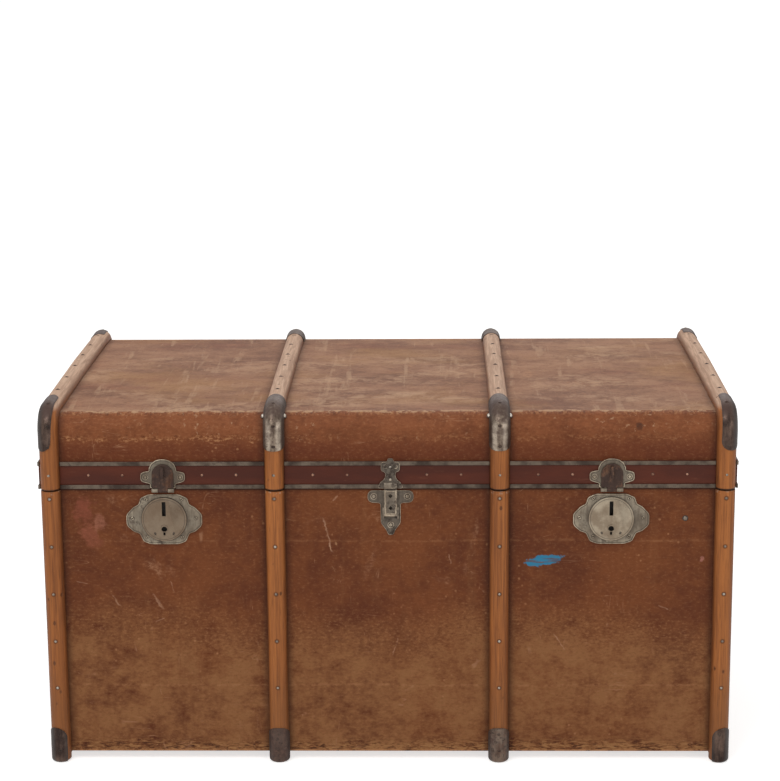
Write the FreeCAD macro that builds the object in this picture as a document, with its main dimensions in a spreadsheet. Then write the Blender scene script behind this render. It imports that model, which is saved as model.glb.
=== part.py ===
import FreeCAD, Part
import math
import os
import Sketcher
from types import SimpleNamespace

# A slatted travelling trunk with a bent lid. Millimetres, +X to the right, +Y to the back, +Z up.
# The origin is on the floor, in the middle of the trunk. The front face looks along -Y.

os.makedirs("parts", exist_ok=True)
doc = FreeCAD.newDocument("trunk")
sheet = doc.addObject("Spreadsheet::Sheet", "sizes")

driving_sizes = [
    # box
    ("body_width", 994), ("body_depth", 550), ("body_floor", 13), ("parting", 415),
    ("skin", 1.5), ("board", 10), ("floor_board", 12), ("lining", 1), ("overcut", 10),
    ("lip_thickness", 6), ("lip_rise", 18), ("lip_drop", 50),
    # lid
    ("lid_wall", 84), ("lid_bend", 24), ("lid_crown", 2.5), ("lid_ply", 6), ("lid_end_board", 7),
    # hardwood slats
    ("slat_width", 28), ("slat_height", 16), ("slat_gap", 1.4),
    ("runner_height", 12), ("runner_side", 2), ("toe_radius", 4),
    # sheet steel clips on the slats
    ("clip_sheet", 1.2), ("clip_foot", 1), ("boot_height", 55), ("boot_toe", 3), ("corner_reach", 5),
    ("bend_clip_drop", 26), ("bend_clip_run", 34), ("boot_nail_low", 20), ("boot_nail_high", 45),
    ("bend_nail_rise", 7), ("bend_nail_low_angle", 15), ("bend_nail_high_angle", 70),
    # fibre band and steel strips round the lid's edge
    ("band_height", 40), ("band_front", 3), ("band_end", 2), ("strip_height", 6), ("strip_sheet", 1.5),
    ("notch_gap", 0.3),
    # nails and screws
    ("nail_head", 2.5), ("nail_dome", 1.2), ("nail_shank", 0.9), ("nail_length", 12), ("tack_length", 1),
    ("nail_pitch", 71.5), ("nail_first", 12), ("lid_nail_pitch", 78), ("lid_nail_back", 123),
    ("lid_nail_up", 22.5), ("nail_sink", 0.2),
    ("band_nail_near", 57), ("band_nail_far", 106), ("screw_head", 3), ("screw_dome", 1),
    ("screw_shank", 1.4), ("screw_length", 8),
    # locks on the body
    ("lock_inset", 1), ("lock_drop", 46), ("lock_plate", 1.5), ("lock_panel_half", 30),
    ("lock_panel_up", 35), ("lock_panel_down", 31), ("lock_arch_up", 2.6), ("lock_arch_down", 4.4),
    ("lock_shoulder_half", 37), ("lock_shoulder_up", 25), ("lock_shoulder_down", 20),
    ("lock_lobe_radius", 22), ("lock_lobe_offset", 32), ("lock_lobe_up", 4),
    ("lock_disc", 33), ("lock_disc_sheet", 2.5), ("lock_disc_round", 1.2), ("lock_drum", 29),
    ("lock_drum_depth", 9), ("lock_wall", 1.5), ("lock_fit", 0.3),
    ("slot_width", 5.5), ("slot_relief", 1.2), ("key_round", 4), ("key_slit", 3), ("key_drop", 14.5),
    ("key_tail", 9), ("pip_radius", 1.3), ("pip_spread", 13), ("pip_drop", 21.5),
    ("bolt_length", 14), ("bolt_height", 6), ("bolt_thick", 3), ("bolt_inset", 1), ("bolt_fit", 0.3),
    ("guide_length", 10), ("guide_wall", 2), ("lock_screw_x", 25.5), ("lock_screw_up", 30),
    ("lock_screw_down", 26.5), ("lock_screw_far", 45.7), ("lock_screw_mid", 1.5),
    # hasps on the lid
    ("hasp_plate", 1.2), ("hasp_sheet", 2), ("hasp_clear", 0.3), ("hasp_panel_half", 18),
    ("hasp_panel_up", 22.5), ("hasp_arch", 19.5), ("hasp_ear", 9.5), ("hasp_ear_x", 22.5),
    ("hasp_ear_up", 17), ("ear_nail_out", 2.5), ("hasp_half", 15.5), ("hasp_reach", 39), ("hasp_foot", 4),
    ("barrel_radius", 3), ("barrel_drop", 2), ("barrel_half", 16), ("knuckle_half", 7),
    ("hasp_knuckle_gap", 0.3), ("hasp_pin", 1.5), ("pin_fit", 0.05),
    ("staple_thick", 4), ("staple_near", 19), ("staple_far", 36.5), ("staple_depth", 7.5),
    ("staple_bridge", 1.4), ("staple_leg", 4),
    # middle clasp
    ("clasp_shift", 5), ("clasp_sheet", 1.5), ("clasp_top", 3.5), ("clasp_bar_half", 24),
    ("clasp_bar_radius", 9), ("clasp_shield_half", 14), ("clasp_shield_drop", 50),
    ("clasp_point_half", 5), ("clasp_point_drop", 65), ("clasp_tip", 6), ("cheek_sheet", 2),
    ("cheek_depth", 6), ("cheek_drop", 27), ("lever_half", 9.3), ("lever_length", 41),
    ("lever_sheet", 2.6), ("lever_fit", 0.3), ("lever_stand", 2.2), ("lever_hole", 3.2),
    ("lever_pivot", 5), ("lever_rise", 2), ("lever_lean", 0.5), ("lever_hole_low", 10.6),
    ("lever_hole_high", 28.9), ("clasp_pin", 1.2), ("clasp_screw_drop", 55),
    ("catch_foot_half", 19), ("catch_flare_x", 26), ("catch_neck_half", 6.5), ("catch_neck_up", 21),
    ("catch_lobe", 6),
    ("catch_lobe_x", 7), ("catch_lobe_up", 32), ("catch_tip_up", 43), ("catch_lip", 2.4),
    ("catch_lip_up", 9), ("catch_rivet_up", 14),
    # back hinges
    ("hinge_inset", 1), ("hinge_half", 30), ("hinge_leaf", 2.5), ("hinge_up", 36), ("hinge_down", 42),
    ("hinge_stand", 8), ("hinge_barrel", 4.5), ("hinge_pin", 2), ("hinge_knuckle", 12), ("hinge_gap", 0.4),
    ("hinge_web", 3.5), ("hinge_nail_x", 20), ("hinge_nail_rise", 15),
    # bail handles on the ends
    ("handle_height", 285), ("handle_half", 78), ("handle_stand", 13), ("bail_wire", 3.5),
    ("bail_bend", 12), ("bail_drop", 52), ("grip_radius", 10), ("grip_gap", 1), ("grip_round", 4),
    ("bracket_sheet", 2), ("bracket_half", 11), ("bracket_rise", 18), ("ear_thick", 8), ("ear_radius", 7),
    ("bail_fit", 0.05),
]
for row, (alias, value) in enumerate(driving_sizes, start=1):
    sheet.set(f"A{row}", str(value))
    sheet.setAlias(f"A{row}", alias)
doc.recompute()


class Size:
    # A number from the sheet, or worked out from such numbers, with the expression that says how.
    def __init__(self, value, text):
        self.value = float(value)
        self.text = text

    def __add__(self, other):
        other = asSize(other)
        return Size(self.value + other.value, f"({self.text} + {other.text})")

    def __sub__(self, other):
        other = asSize(other)
        return Size(self.value - other.value, f"({self.text} - {other.text})")

    def __mul__(self, other):
        other = asSize(other)
        return Size(self.value * other.value, f"({self.text} * {other.text})")

    def __truediv__(self, other):
        other = asSize(other)
        return Size(self.value / other.value, f"({self.text} / {other.text})")

    def __neg__(self):
        return Size(-self.value, f"(0 - {self.text})")

    def __radd__(self, other):
        return asSize(other) + self

    def __rsub__(self, other):
        return asSize(other) - self

    def __rmul__(self, other):
        return asSize(other) * self

    def root(self):
        return Size(math.sqrt(self.value), f"sqrt({self.text})")


def asSize(number):
    return number if isinstance(number, Size) else Size(number, str(number))


v = SimpleNamespace(**{alias: Size(sheet.get(alias), "sizes." + alias) for alias, _ in driving_sizes})
zero = asSize(0)
nodes = []


def keep(item):
    nodes.append(item)
    return item


def bind(item, name, size):
    item.setExpression(name, asSize(size).text)


def place(item, x=zero, y=zero, z=zero):
    bind(item, "Placement.Base.x", x)
    bind(item, "Placement.Base.y", y)
    bind(item, "Placement.Base.z", z)
    return item


# Part solids and booleans


def block(name, low, high):
    box = doc.addObject("Part::Box", name)
    for side, near, far in zip(("Length", "Width", "Height"), low, high):
        bind(box, side, asSize(far) - near)
    return place(box, *low)


along = {"x": FreeCAD.Vector(1, 0, 0), "y": FreeCAD.Vector(0, 1, 0), "z": FreeCAD.Vector(0, 0, 1)}


def rod(name, axis, start, radius, length):
    cylinder = doc.addObject("Part::Cylinder", name)
    bind(cylinder, "Radius", radius)
    bind(cylinder, "Height", length)
    cylinder.Placement = FreeCAD.Placement(FreeCAD.Vector(), FreeCAD.Rotation(along["z"], along[axis]))
    return place(cylinder, *start)


def fuse(name, shapes):
    union = doc.addObject("Part::MultiFuse", name)
    union.Shapes = shapes
    return union


def cut(name, base, tools):
    result = doc.addObject("Part::Cut", name)
    result.Base = base
    result.Tool = tools[0] if len(tools) == 1 else fuse(name + "_tools", tools)
    return result


def group(name, items):
    together = doc.addObject("Part::Compound", name)
    together.Links = items
    return together


def mirrored(name, source, normal):
    image = doc.addObject("Part::Mirroring", name)
    image.Source = source
    image.Normal = normal
    return image


def fourWays(name, source):
    # the piece itself and its images across the middle planes, as four separate solids
    left = mirrored(name + "_left", source, along["x"])
    back = mirrored(name + "_back", source, along["y"])
    far = mirrored(name + "_far", left, along["y"])
    return group(name, [source, left, back, far])


# PartDesign bodies from sketches


class Arc:
    # the arc between two corners of an outline, given by its centre and its turning sense
    def __init__(self, centre_x, centre_y, turns_left):
        self.x = asSize(centre_x)
        self.y = asSize(centre_y)
        self.turns_left = turns_left


def newBody(name):
    body = doc.addObject("PartDesign::Body", name)
    body.AllowCompound = True
    return body


def originItem(body, role):
    return [item for item in body.Origin.OriginFeatures if item.Role == role][0]


def newSketch(body, name, plane, offset=None):
    sketch = body.newObject("Sketcher::SketchObject", name)
    sketch.AttachmentSupport = (originItem(body, plane), "")
    sketch.MapMode = "FlatFace"
    if offset is not None:
        bind(sketch, "AttachmentOffset.Base.z", offset)
    return sketch


def pin(sketch, kind, geometry, point, size):
    index = sketch.addConstraint(Sketcher.Constraint(kind, -1, 1, geometry, point, size.value))
    bind(sketch, f"Constraints[{index}]", size)


def draw(sketch, corners, closed=True):
    # corners are (x, y) pairs, with an Arc between two of them where the edge is round
    stops = []
    for corner in corners:
        if isinstance(corner, Arc):
            stops[-1][1] = corner
        else:
            stops.append([tuple(asSize(value) for value in corner), None])
    edge_count = len(stops) if closed else len(stops) - 1
    edges = []
    for number in range(edge_count):
        (start, arc), (end, _) = stops[number], stops[(number + 1) % len(stops)]
        first = FreeCAD.Vector(start[0].value, start[1].value, 0)
        last = FreeCAD.Vector(end[0].value, end[1].value, 0)
        if arc is None:
            index = sketch.addGeometry(Part.LineSegment(first, last), False)
            edges.append((index, 1, 2))
            continue
        centre = FreeCAD.Vector(arc.x.value, arc.y.value, 0)
        circle = Part.Circle(centre, along["z"], centre.distanceToPoint(first))
        sweep = (first, last) if arc.turns_left else (last, first)
        angles = [math.atan2(point.y - centre.y, point.x - centre.x) for point in sweep]
        if angles[1] <= angles[0]:
            angles[1] += 2 * math.pi
        index = sketch.addGeometry(Part.ArcOfCircle(circle, *angles), False)
        edges.append((index, 1, 2) if arc.turns_left else (index, 2, 1))
        if abs(last.x - first.x) >= abs(last.y - first.y):
            pin(sketch, "DistanceY", index, 3, arc.y)
        else:
            pin(sketch, "DistanceX", index, 3, arc.x)
    for number, (index, head, tail) in enumerate(edges):
        start = stops[number][0]
        pin(sketch, "DistanceX", index, head, start[0])
        pin(sketch, "DistanceY", index, head, start[1])
        if number + 1 < len(edges) or closed:
            following = edges[(number + 1) % len(edges)]
            sketch.addConstraint(Sketcher.Constraint("Coincident", index, tail, following[0], following[1]))
        else:
            pin(sketch, "DistanceX", index, tail, stops[-1][0][0])
            pin(sketch, "DistanceY", index, tail, stops[-1][0][1])
    return sketch


def outline(body, name, plane, corners, offset=None):
    return draw(newSketch(body, name, plane, offset), corners)


def box2d(low_x, low_y, high_x, high_y):
    return [(low_x, low_y), (high_x, low_y), (high_x, high_y), (low_x, high_y)]


def pad(body, sketch, length, symmetric=False, backward=False):
    feature = body.newObject("PartDesign::Pad", sketch.Name + "_pad")
    feature.Profile = sketch
    feature.SideType = "Symmetric" if symmetric else "One side"
    feature.Reversed = backward
    bind(feature, "Length", length)
    doc.recompute()
    return feature


def pocket(body, sketch, length=None, symmetric=False, backward=False):
    before = body.Shape.Volume
    feature = body.newObject("PartDesign::Pocket", sketch.Name + "_pocket")
    feature.Profile = sketch
    feature.SideType = "Symmetric" if symmetric else "One side"
    feature.Reversed = backward
    if length is None:
        feature.Type = "ThroughAll"
    else:
        bind(feature, "Length", length)
    doc.recompute()
    if not body.Shape.Volume < before:
        raise RuntimeError(f"{feature.Name} cuts nothing")
    return feature


def pipe(body, profile, spine):
    feature = body.newObject("PartDesign::AdditivePipe", spine.Name + "_pipe")
    feature.Profile = profile
    feature.Spine = spine
    doc.recompute()
    return feature


# Faces and levels that several pieces share

half_width = v.body_width / 2
half_depth = v.body_depth / 2
slat_round = v.slat_width / 2
slat_side = v.slat_height - slat_round
# The outer slats are flush with the ends, and three equal panels lie between the four slats.
slat_pitch = (v.body_width - v.slat_width) / 3
slat_places = [slat_pitch * step / 2 for step in (-3, -1, 1, 3)]
panel_places = [-slat_pitch, zero, slat_pitch]
lock_places = (("left", v.lock_inset - slat_pitch), ("right", slat_pitch - v.lock_inset))
hinge_places = [v.hinge_inset - slat_pitch, zero, slat_pitch - v.hinge_inset]
nails_per_slat = 5
tolerance = 0.001
inner_half_width = half_width - v.skin - v.board
inner_half_depth = half_depth - v.skin - v.board
floor_top = v.body_floor + v.skin + v.floor_board
band_top = v.parting + v.band_height
bend_height = v.parting + v.lid_wall
lock_height = v.parting - v.lock_drop
hasp_axis_height = v.parting - v.barrel_drop
lock_front = half_depth + v.lock_plate + v.lock_disc_sheet
plate_front = half_depth + v.band_front + v.strip_sheet + v.hasp_plate
# The closed hasp lies just off the lock's disc, and the open one just off its plate on the lid.
hasp_axis_depth = (lock_front + plate_front + v.hasp_sheet) / 2 + v.hasp_clear
hasp_back = plate_front + v.hasp_clear
hinge_axis_depth = half_depth + v.hinge_stand


# Body of the trunk


def bodyBoards():
    front_y = half_depth - v.skin
    side_x = half_width - v.skin
    keep(block("bottom_board", (-side_x, -front_y, v.body_floor + v.skin), (side_x, front_y, floor_top)))
    plain = block("front_blank", (-side_x, -front_y, floor_top), (side_x, -inner_half_depth, v.parting))
    bores = [
        rod(f"front_bore_{side}", "y", (x, -front_y, lock_height), v.lock_drum + v.lock_fit, v.board)
        for side, x in lock_places
    ]
    keep(cut("front_board", plain, bores))
    keep(block("back_board", (-side_x, inner_half_depth, floor_top), (side_x, front_y, v.parting)))
    for side, low, high in (
        ("left", -side_x, -inner_half_width),
        ("right", inner_half_width, side_x),
    ):
        corner = (high, inner_half_depth, v.parting)
        keep(block(f"{side}_end_board", (low, -inner_half_depth, floor_top), corner))


def closingLip():
    low = v.parting - v.lip_drop
    high = v.parting + v.lip_rise
    outer = block(
        "lip_outer", (-inner_half_width, -inner_half_depth, low), (inner_half_width, inner_half_depth, high)
    )
    x = inner_half_width - v.lip_thickness
    y = inner_half_depth - v.lip_thickness
    keep(cut("closing_lip", outer, [block("lip_inner", (-x, -y, low), (x, y, high))]))


def bodySkins():
    outer = block(
        "canvas_outer", (-half_width, -half_depth, v.body_floor), (half_width, half_depth, v.parting)
    )
    x = half_width - v.skin
    y = half_depth - v.skin
    inner = block("canvas_inner", (-x, -y, v.body_floor + v.skin), (x, y, v.parting))
    bores = [
        rod(f"canvas_bore_{side}", "y", (place_x, -half_depth, lock_height), v.lock_drum + v.lock_fit, v.skin)
        for side, place_x in lock_places
    ]
    keep(cut("body_canvas", outer, [inner] + bores))
    lining_top = v.parting - v.lip_drop
    outer = block(
        "lining_outer",
        (-inner_half_width, -inner_half_depth, floor_top),
        (inner_half_width, inner_half_depth, lining_top),
    )
    x = inner_half_width - v.lining
    y = inner_half_depth - v.lining
    inner = block("lining_inner", (-x, -y, floor_top + v.lining), (x, y, lining_top))
    keep(cut("body_lining", outer, [inner]))


# Half-round slats


def slatSection(x, face_y, outward):
    # the flat back lies on face_y, and outward is -1 towards the front or 1 towards the back
    side_y = face_y + outward * slat_side
    return [
        (x - slat_round, face_y),
        (x + slat_round, face_y),
        (x + slat_round, side_y),
        Arc(x, side_y, outward > 0),
        (x - slat_round, side_y),
    ]


def uprightSlats():
    low = v.clip_sheet
    high = v.parting - v.slat_gap
    for name, outward in (("front_slat", -1), ("back_slat", 1)):
        for number, x in enumerate(slat_places, start=1):
            body = newBody(f"{name}_{number}")
            section = slatSection(x, outward * half_depth, outward)
            pad(body, outline(body, f"{name}_section_{number}", "XY_Plane", section, low), high - low)
            roundToe(body, f"{name}_toe_{number}", low, outward * half_depth)
            keep(body)


def roundToe(body, name, level, face_y):
    # rounds the slat's lower end, all but the edge that lies on the trunk
    tip = body.Tip
    chosen = []
    for number, edge in enumerate(tip.Shape.Edges, start=1):
        box = edge.BoundBox
        on_level = abs(box.ZMax - level.value) < tolerance
        off_face = max(abs(box.YMin - face_y.value), abs(box.YMax - face_y.value)) > v.toe_radius.value
        if on_level and off_face and edge.Curve.TypeId == "Part::GeomCircle":
            chosen.append(f"Edge{number}")
    fillet = body.newObject("PartDesign::Fillet", name)
    fillet.Base = (tip, chosen)
    bind(fillet, "Radius", v.toe_radius)
    doc.recompute()


def runners():
    side_z = v.body_floor - v.runner_side
    bulge = v.runner_height - v.runner_side
    radius = (slat_round * slat_round + bulge * bulge) / (2 * bulge)
    for number, x in enumerate(slat_places, start=1):
        body = newBody(f"bottom_runner_{number}")
        section = [
            (x - slat_round, v.body_floor),
            (x - slat_round, side_z),
            Arc(x, side_z - bulge + radius, True),
            (x + slat_round, side_z),
            (x + slat_round, v.body_floor),
        ]
        shape = outline(body, f"runner_section_{number}", "XZ_Plane", section)
        pad(body, shape, v.body_depth, symmetric=True)
        keep(body)


# Shape of the lid: wall, bend, gently bowed top, bend and wall

bow_half = half_depth - v.lid_bend
bow_gap = (bow_half * bow_half + v.lid_crown * v.lid_crown) / (2 * v.lid_crown)
bow_centre = bend_height - bow_gap + v.lid_crown


def bowPoint(inset):
    # where the bend runs into the bowed top, on the surface that lies inset under the canvas
    share = (bow_gap + v.lid_bend - inset) / bow_gap
    return bow_half * share, bow_centre + (bend_height - bow_centre) * share


def lidOutline(inset, low):
    y, z = bowPoint(inset)
    wall = half_depth - inset
    return [
        (-wall, low),
        (wall, low),
        (wall, bend_height),
        Arc(bow_half, bend_height, True),
        (y, z),
        Arc(0, bow_centre, True),
        (-y, z),
        Arc(-bow_half, bend_height, True),
        (-wall, bend_height),
    ]


def lidShell(name, outer_inset, inner_inset, outer_length, inner_length):
    body = newBody(name)
    shell = outline(body, name + "_outer", "YZ_Plane", lidOutline(outer_inset, v.parting))
    pad(body, shell, outer_length, symmetric=True)
    core = outline(body, name + "_inner", "YZ_Plane", lidOutline(inner_inset, v.parting - v.overcut))
    pocket(body, core, inner_length, symmetric=True)
    return keep(body)


def lidBoards():
    inside_skin = v.body_width - 2 * v.skin
    inside_ends = inside_skin - 2 * v.lid_end_board
    ply_inside = v.skin + v.lid_ply
    lidShell("lid_canvas", zero, v.skin, v.body_width, inside_skin)
    lidShell("lid_board", v.skin, ply_inside, inside_skin, inside_skin + v.overcut)
    for side, x in (("left", -inside_skin / 2), ("right", inside_ends / 2)):
        body = newBody(f"lid_{side}_end")
        shape = outline(body, f"lid_{side}_end_shape", "YZ_Plane", lidOutline(ply_inside, v.parting), x)
        pad(body, shape, v.lid_end_board)
        keep(body)
    lidShell("lid_lining", ply_inside, ply_inside + v.lining, inside_ends, inside_ends - 2 * v.lining)


def bendPath(body, name, start, stop_y=None):
    # a path on the canvas from the front wall over the bend, and on to stop_y or down the back wall
    y, z = bowPoint(zero)
    corners = [(-half_depth, start), (-half_depth, bend_height), Arc(-bow_half, bend_height, False), (-y, z)]
    corners.append(Arc(0, bow_centre, False))
    if stop_y is None:
        corners += [(y, z), Arc(bow_half, bend_height, False), (half_depth, bend_height)]
        corners.append((half_depth, band_top + v.slat_gap))
    else:
        bow_radius = bow_gap + v.lid_bend
        rise = (bow_radius * bow_radius - stop_y * stop_y).root()
        corners.append((stop_y, bow_centre + rise))
    return draw(newSketch(body, name, "YZ_Plane"), corners, closed=False)


def lidSlats():
    start = v.parting
    for number, x in enumerate(slat_places, start=1):
        body = newBody(f"lid_slat_{number}")
        section = slatSection(x, -half_depth, -1)
        profile = outline(body, f"lid_slat_section_{number}", "XY_Plane", section, start)
        pipe(body, profile, bendPath(body, f"lid_slat_path_{number}", start))
        keep(body)


# Clips that hug the slats


def hugSection(x, whole):
    # a thin shell round the front of a slat at x, cut short past the crown where it isn't whole
    face = -half_depth
    side_y = face - slat_side
    outer = slat_round + v.clip_sheet
    foot_y = face - v.clip_foot
    if whole:
        return [
            (x + outer, foot_y), (x + outer, side_y), Arc(x, side_y, False), (x - outer, side_y),
            (x - outer, foot_y), (x - slat_round, foot_y), (x - slat_round, side_y),
            Arc(x, side_y, True), (x + slat_round, side_y), (x + slat_round, foot_y),
        ]
    end_x = x - v.corner_reach
    inner_y = side_y - (slat_round * slat_round - v.corner_reach * v.corner_reach).root()
    outer_y = side_y - (outer * outer - v.corner_reach * v.corner_reach).root()
    return [
        (x + outer, foot_y), (x + outer, side_y), Arc(x, side_y, False), (end_x, outer_y),
        (end_x, inner_y), Arc(x, side_y, True), (x + slat_round, side_y), (x + slat_round, foot_y),
    ]


def bendClips():
    start = bend_height - v.bend_clip_drop
    stop = v.bend_clip_run - half_depth
    for name, x, whole in (
        ("middle_lid_clips", slat_places[2], True),
        ("corner_lid_clips", slat_places[3], False),
    ):
        body = newBody(name + "_one")
        profile = outline(body, name + "_section", "XY_Plane", hugSection(x, whole), start)
        pipe(body, profile, bendPath(body, name + "_path", start, stop))
        keep(fourWays(name, body))


def footClips():
    # a boot round the slat's lower end, with a sole between the slat and the floor
    outer = slat_round + v.clip_sheet
    face = -half_depth
    side_y = face - slat_side
    for name, x, slat, whole in (
        ("middle_foot_clips", slat_places[2], "front_slat_3", True),
        ("corner_foot_clips", slat_places[3], "front_slat_4", False),
    ):
        body = newBody(name + "_blank")
        section = [
            (x - outer, face), (x + outer, face), (x + outer, side_y),
            Arc(x, side_y, False), (x - outer, side_y),
        ]
        pad(body, outline(body, name + "_section", "XY_Plane", section), v.boot_height)
        tools = [doc.getObject(slat)]
        if not whole:
            reach = v.slat_height + v.clip_sheet
            tools.append(
                block(
                    name + "_trim",
                    (x - outer, face - reach, v.clip_sheet + v.boot_toe),
                    (x - v.corner_reach, face, v.boot_height),
                )
            )
        keep(fourWays(name, cut(name + "_one", body, tools)))


# Band and steel strips round the lid's lower edge


def notches(body, name, level, depth, height):
    # gaps for the front slats and for the back hinges
    gaps = newSketch(body, name, "XY_Plane", level)
    for x in slat_places:
        reach = slat_round + v.notch_gap
        draw(gaps, box2d(x - reach, -half_depth - depth, x + reach, -half_depth + v.skin))
    for x in hinge_places:
        reach = v.hinge_half + v.notch_gap
        draw(gaps, box2d(x - reach, half_depth - v.skin, x + reach, half_depth + depth))
    pocket(body, gaps, height, backward=True)


def ring(body, name, level, height, grow_x, grow_y, inner_x, inner_y):
    shape = newSketch(body, name, "XY_Plane", level)
    draw(shape, box2d(-half_width - grow_x, -half_depth - grow_y, half_width + grow_x, half_depth + grow_y))
    draw(
        shape,
        box2d(-half_width - inner_x, -half_depth - inner_y, half_width + inner_x, half_depth + inner_y),
    )
    return pad(body, shape, height)


def rimBand():
    body = newBody("rim_band")
    ring(body, "band_ring", v.parting, v.band_height, v.band_end, v.band_front, zero, zero)
    notches(body, "band_notches", v.parting, v.band_front + v.skin, v.band_height)
    keep(body)


def rimStrips():
    strips = []
    grow_x = v.band_end + v.strip_sheet
    grow_y = v.band_front + v.strip_sheet
    for name, level in (("lower", v.parting), ("upper", band_top - v.strip_height)):
        body = newBody(f"{name}_strip")
        ring(body, f"{name}_strip_ring", level, v.strip_height, grow_x, grow_y, v.band_end, v.band_front)
        notches(body, f"{name}_strip_notches", level, grow_y + v.skin, v.strip_height)
        if name == "lower":
            gaps = newSketch(body, "hasp_notches", "XY_Plane", level)
            for _, x in lock_places:
                reach = v.hasp_panel_half - v.notch_gap
                draw(gaps, box2d(x - reach, -half_depth - grow_y - v.skin, x + reach, -half_depth))
            pocket(body, gaps, v.strip_height, backward=True)
        strips.append(body)
    keep(group("rim_strips", strips))


# Locks


def lockPlate(side, x):
    body = newBody(f"{side}_lock_panel")
    low = lock_height - v.lock_panel_down
    high = lock_height + v.lock_panel_up
    half = v.lock_panel_half
    radius_up = (half * half + v.lock_arch_up * v.lock_arch_up) / (2 * v.lock_arch_up)
    radius_down = (half * half + v.lock_arch_down * v.lock_arch_down) / (2 * v.lock_arch_down)
    corners = [
        (x - half, low),
        Arc(x, low - v.lock_arch_down + radius_down, True),
        (x + half, low),
        (x + half, high),
        Arc(x, high + v.lock_arch_up - radius_up, True),
        (x - half, high),
    ]
    panel = outline(body, f"{side}_lock_panel_shape", "XZ_Plane", corners, half_depth)
    pad(body, panel, v.lock_plate)
    front = -half_depth - v.lock_plate
    shoulder = block(
        f"{side}_lock_shoulder",
        (x - v.lock_shoulder_half, front, lock_height - v.lock_shoulder_down),
        (x + v.lock_shoulder_half, -half_depth, lock_height + v.lock_shoulder_up),
    )
    lobes = [
        rod(
            f"{side}_lock_lobe_{name}",
            "y",
            (place_x, front, lock_height + v.lock_lobe_up),
            v.lock_lobe_radius,
            v.lock_plate,
        )
        for name, place_x in (("outer", x - v.lock_lobe_offset), ("inner", x + v.lock_lobe_offset))
    ]
    bore = rod(
        f"{side}_plate_bore", "y", (x, front, lock_height), v.lock_drum + v.lock_fit, v.lock_plate
    )
    union = fuse(f"{side}_plate_union", [body, shoulder] + lobes)
    return cut(f"{side}_lock_plate", union, [bore])


staple_centre = hasp_axis_height - (v.staple_near + v.staple_far) / 2
bolt_front = lock_front - v.lock_wall - v.bolt_inset


def lockCase(side, x):
    # a disc on the plate and a hollow drum let into the board, with a guide for the key bolt
    disc_back = -half_depth - v.lock_plate
    disc_front = -lock_front
    drum_back = disc_back + v.lock_plate + v.lock_drum_depth
    disc = rod(f"{side}_disc", "y", (x, disc_front, lock_height), v.lock_disc, v.lock_disc_sheet)
    rounded = doc.addObject("Part::Fillet", f"{side}_disc_round")
    doc.recompute()
    rounded.Base = disc
    rim = [
        number
        for number, edge in enumerate(disc.Shape.Edges, start=1)
        if edge.BoundBox.YMax < disc_front.value + tolerance
    ]
    rounded.Edges = [(number, v.lock_disc_round.value, v.lock_disc_round.value) for number in rim]
    drum = rod(f"{side}_drum", "y", (x, disc_back, lock_height), v.lock_drum, drum_back - disc_back)
    cavity = rod(
        f"{side}_cavity",
        "y",
        (x, disc_front + v.lock_wall, lock_height),
        v.lock_drum - v.lock_wall,
        drum_back - disc_front - 2 * v.lock_wall,
    )
    guide_x = x - v.slot_width / 2 - v.slot_relief - v.guide_length
    guide = block(
        f"{side}_guide",
        (guide_x, disc_front + v.lock_wall, staple_centre - v.bolt_height / 2 - v.guide_wall),
        (guide_x + v.guide_length, drum_back - v.lock_wall, staple_centre + v.bolt_height / 2 + v.guide_wall),
    )
    channel = block(
        f"{side}_channel",
        (guide_x, -bolt_front - v.bolt_fit, staple_centre - v.bolt_height / 2 - v.bolt_fit),
        (
            guide_x + v.guide_length,
            v.bolt_thick - bolt_front + v.bolt_fit,
            staple_centre + v.bolt_height / 2 + v.bolt_fit,
        ),
    )
    cuts = lockCuts(side, x, disc_front)
    shell = cut(f"{side}_shell", fuse(f"{side}_solid", [rounded, drum]), [cavity] + cuts)
    return fuse(f"{side}_lock_case", [shell, cut(f"{side}_guide_cut", guide, [channel])])


def lockCuts(side, x, disc_front):
    # slot for the hasp's staple, keyhole and two locating pips, all through the disc
    wall = disc_front + v.lock_wall
    reach = v.staple_depth + hasp_back + v.hasp_sheet - hasp_axis_depth
    swing = (v.staple_far * v.staple_far + reach * reach).root()
    slot = block(
        f"{side}_slot",
        (x - v.slot_width / 2, disc_front, hasp_axis_height - swing - v.slot_relief),
        (x + v.slot_width / 2, wall, hasp_axis_height - v.staple_near + v.slot_relief),
    )
    key_z = lock_height - v.key_drop
    keyhole = rod(f"{side}_keyhole", "y", (x, disc_front, key_z), v.key_round, v.lock_wall)
    slit = block(
        f"{side}_slit",
        (x - v.key_slit / 2, disc_front, key_z - v.key_tail),
        (x + v.key_slit / 2, wall, key_z),
    )
    pips = [
        rod(
            f"{side}_pip_{number}",
            "y",
            (x + step * v.pip_spread, disc_front, lock_height - v.pip_drop),
            v.pip_radius,
            v.lock_wall,
        )
        for number, step in enumerate((-1, 1))
    ]
    return [slot, keyhole, slit] + pips


def lockBolt(side, x):
    end_x = x - v.slot_width / 2 - v.slot_relief
    low_z = staple_centre - v.bolt_height / 2
    low = (end_x - v.bolt_length, -bolt_front, low_z)
    high = (end_x, v.bolt_thick - bolt_front, low_z + v.bolt_height)
    keep(block(f"{side}_lock_bolt", low, high))


# Hasps


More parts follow.
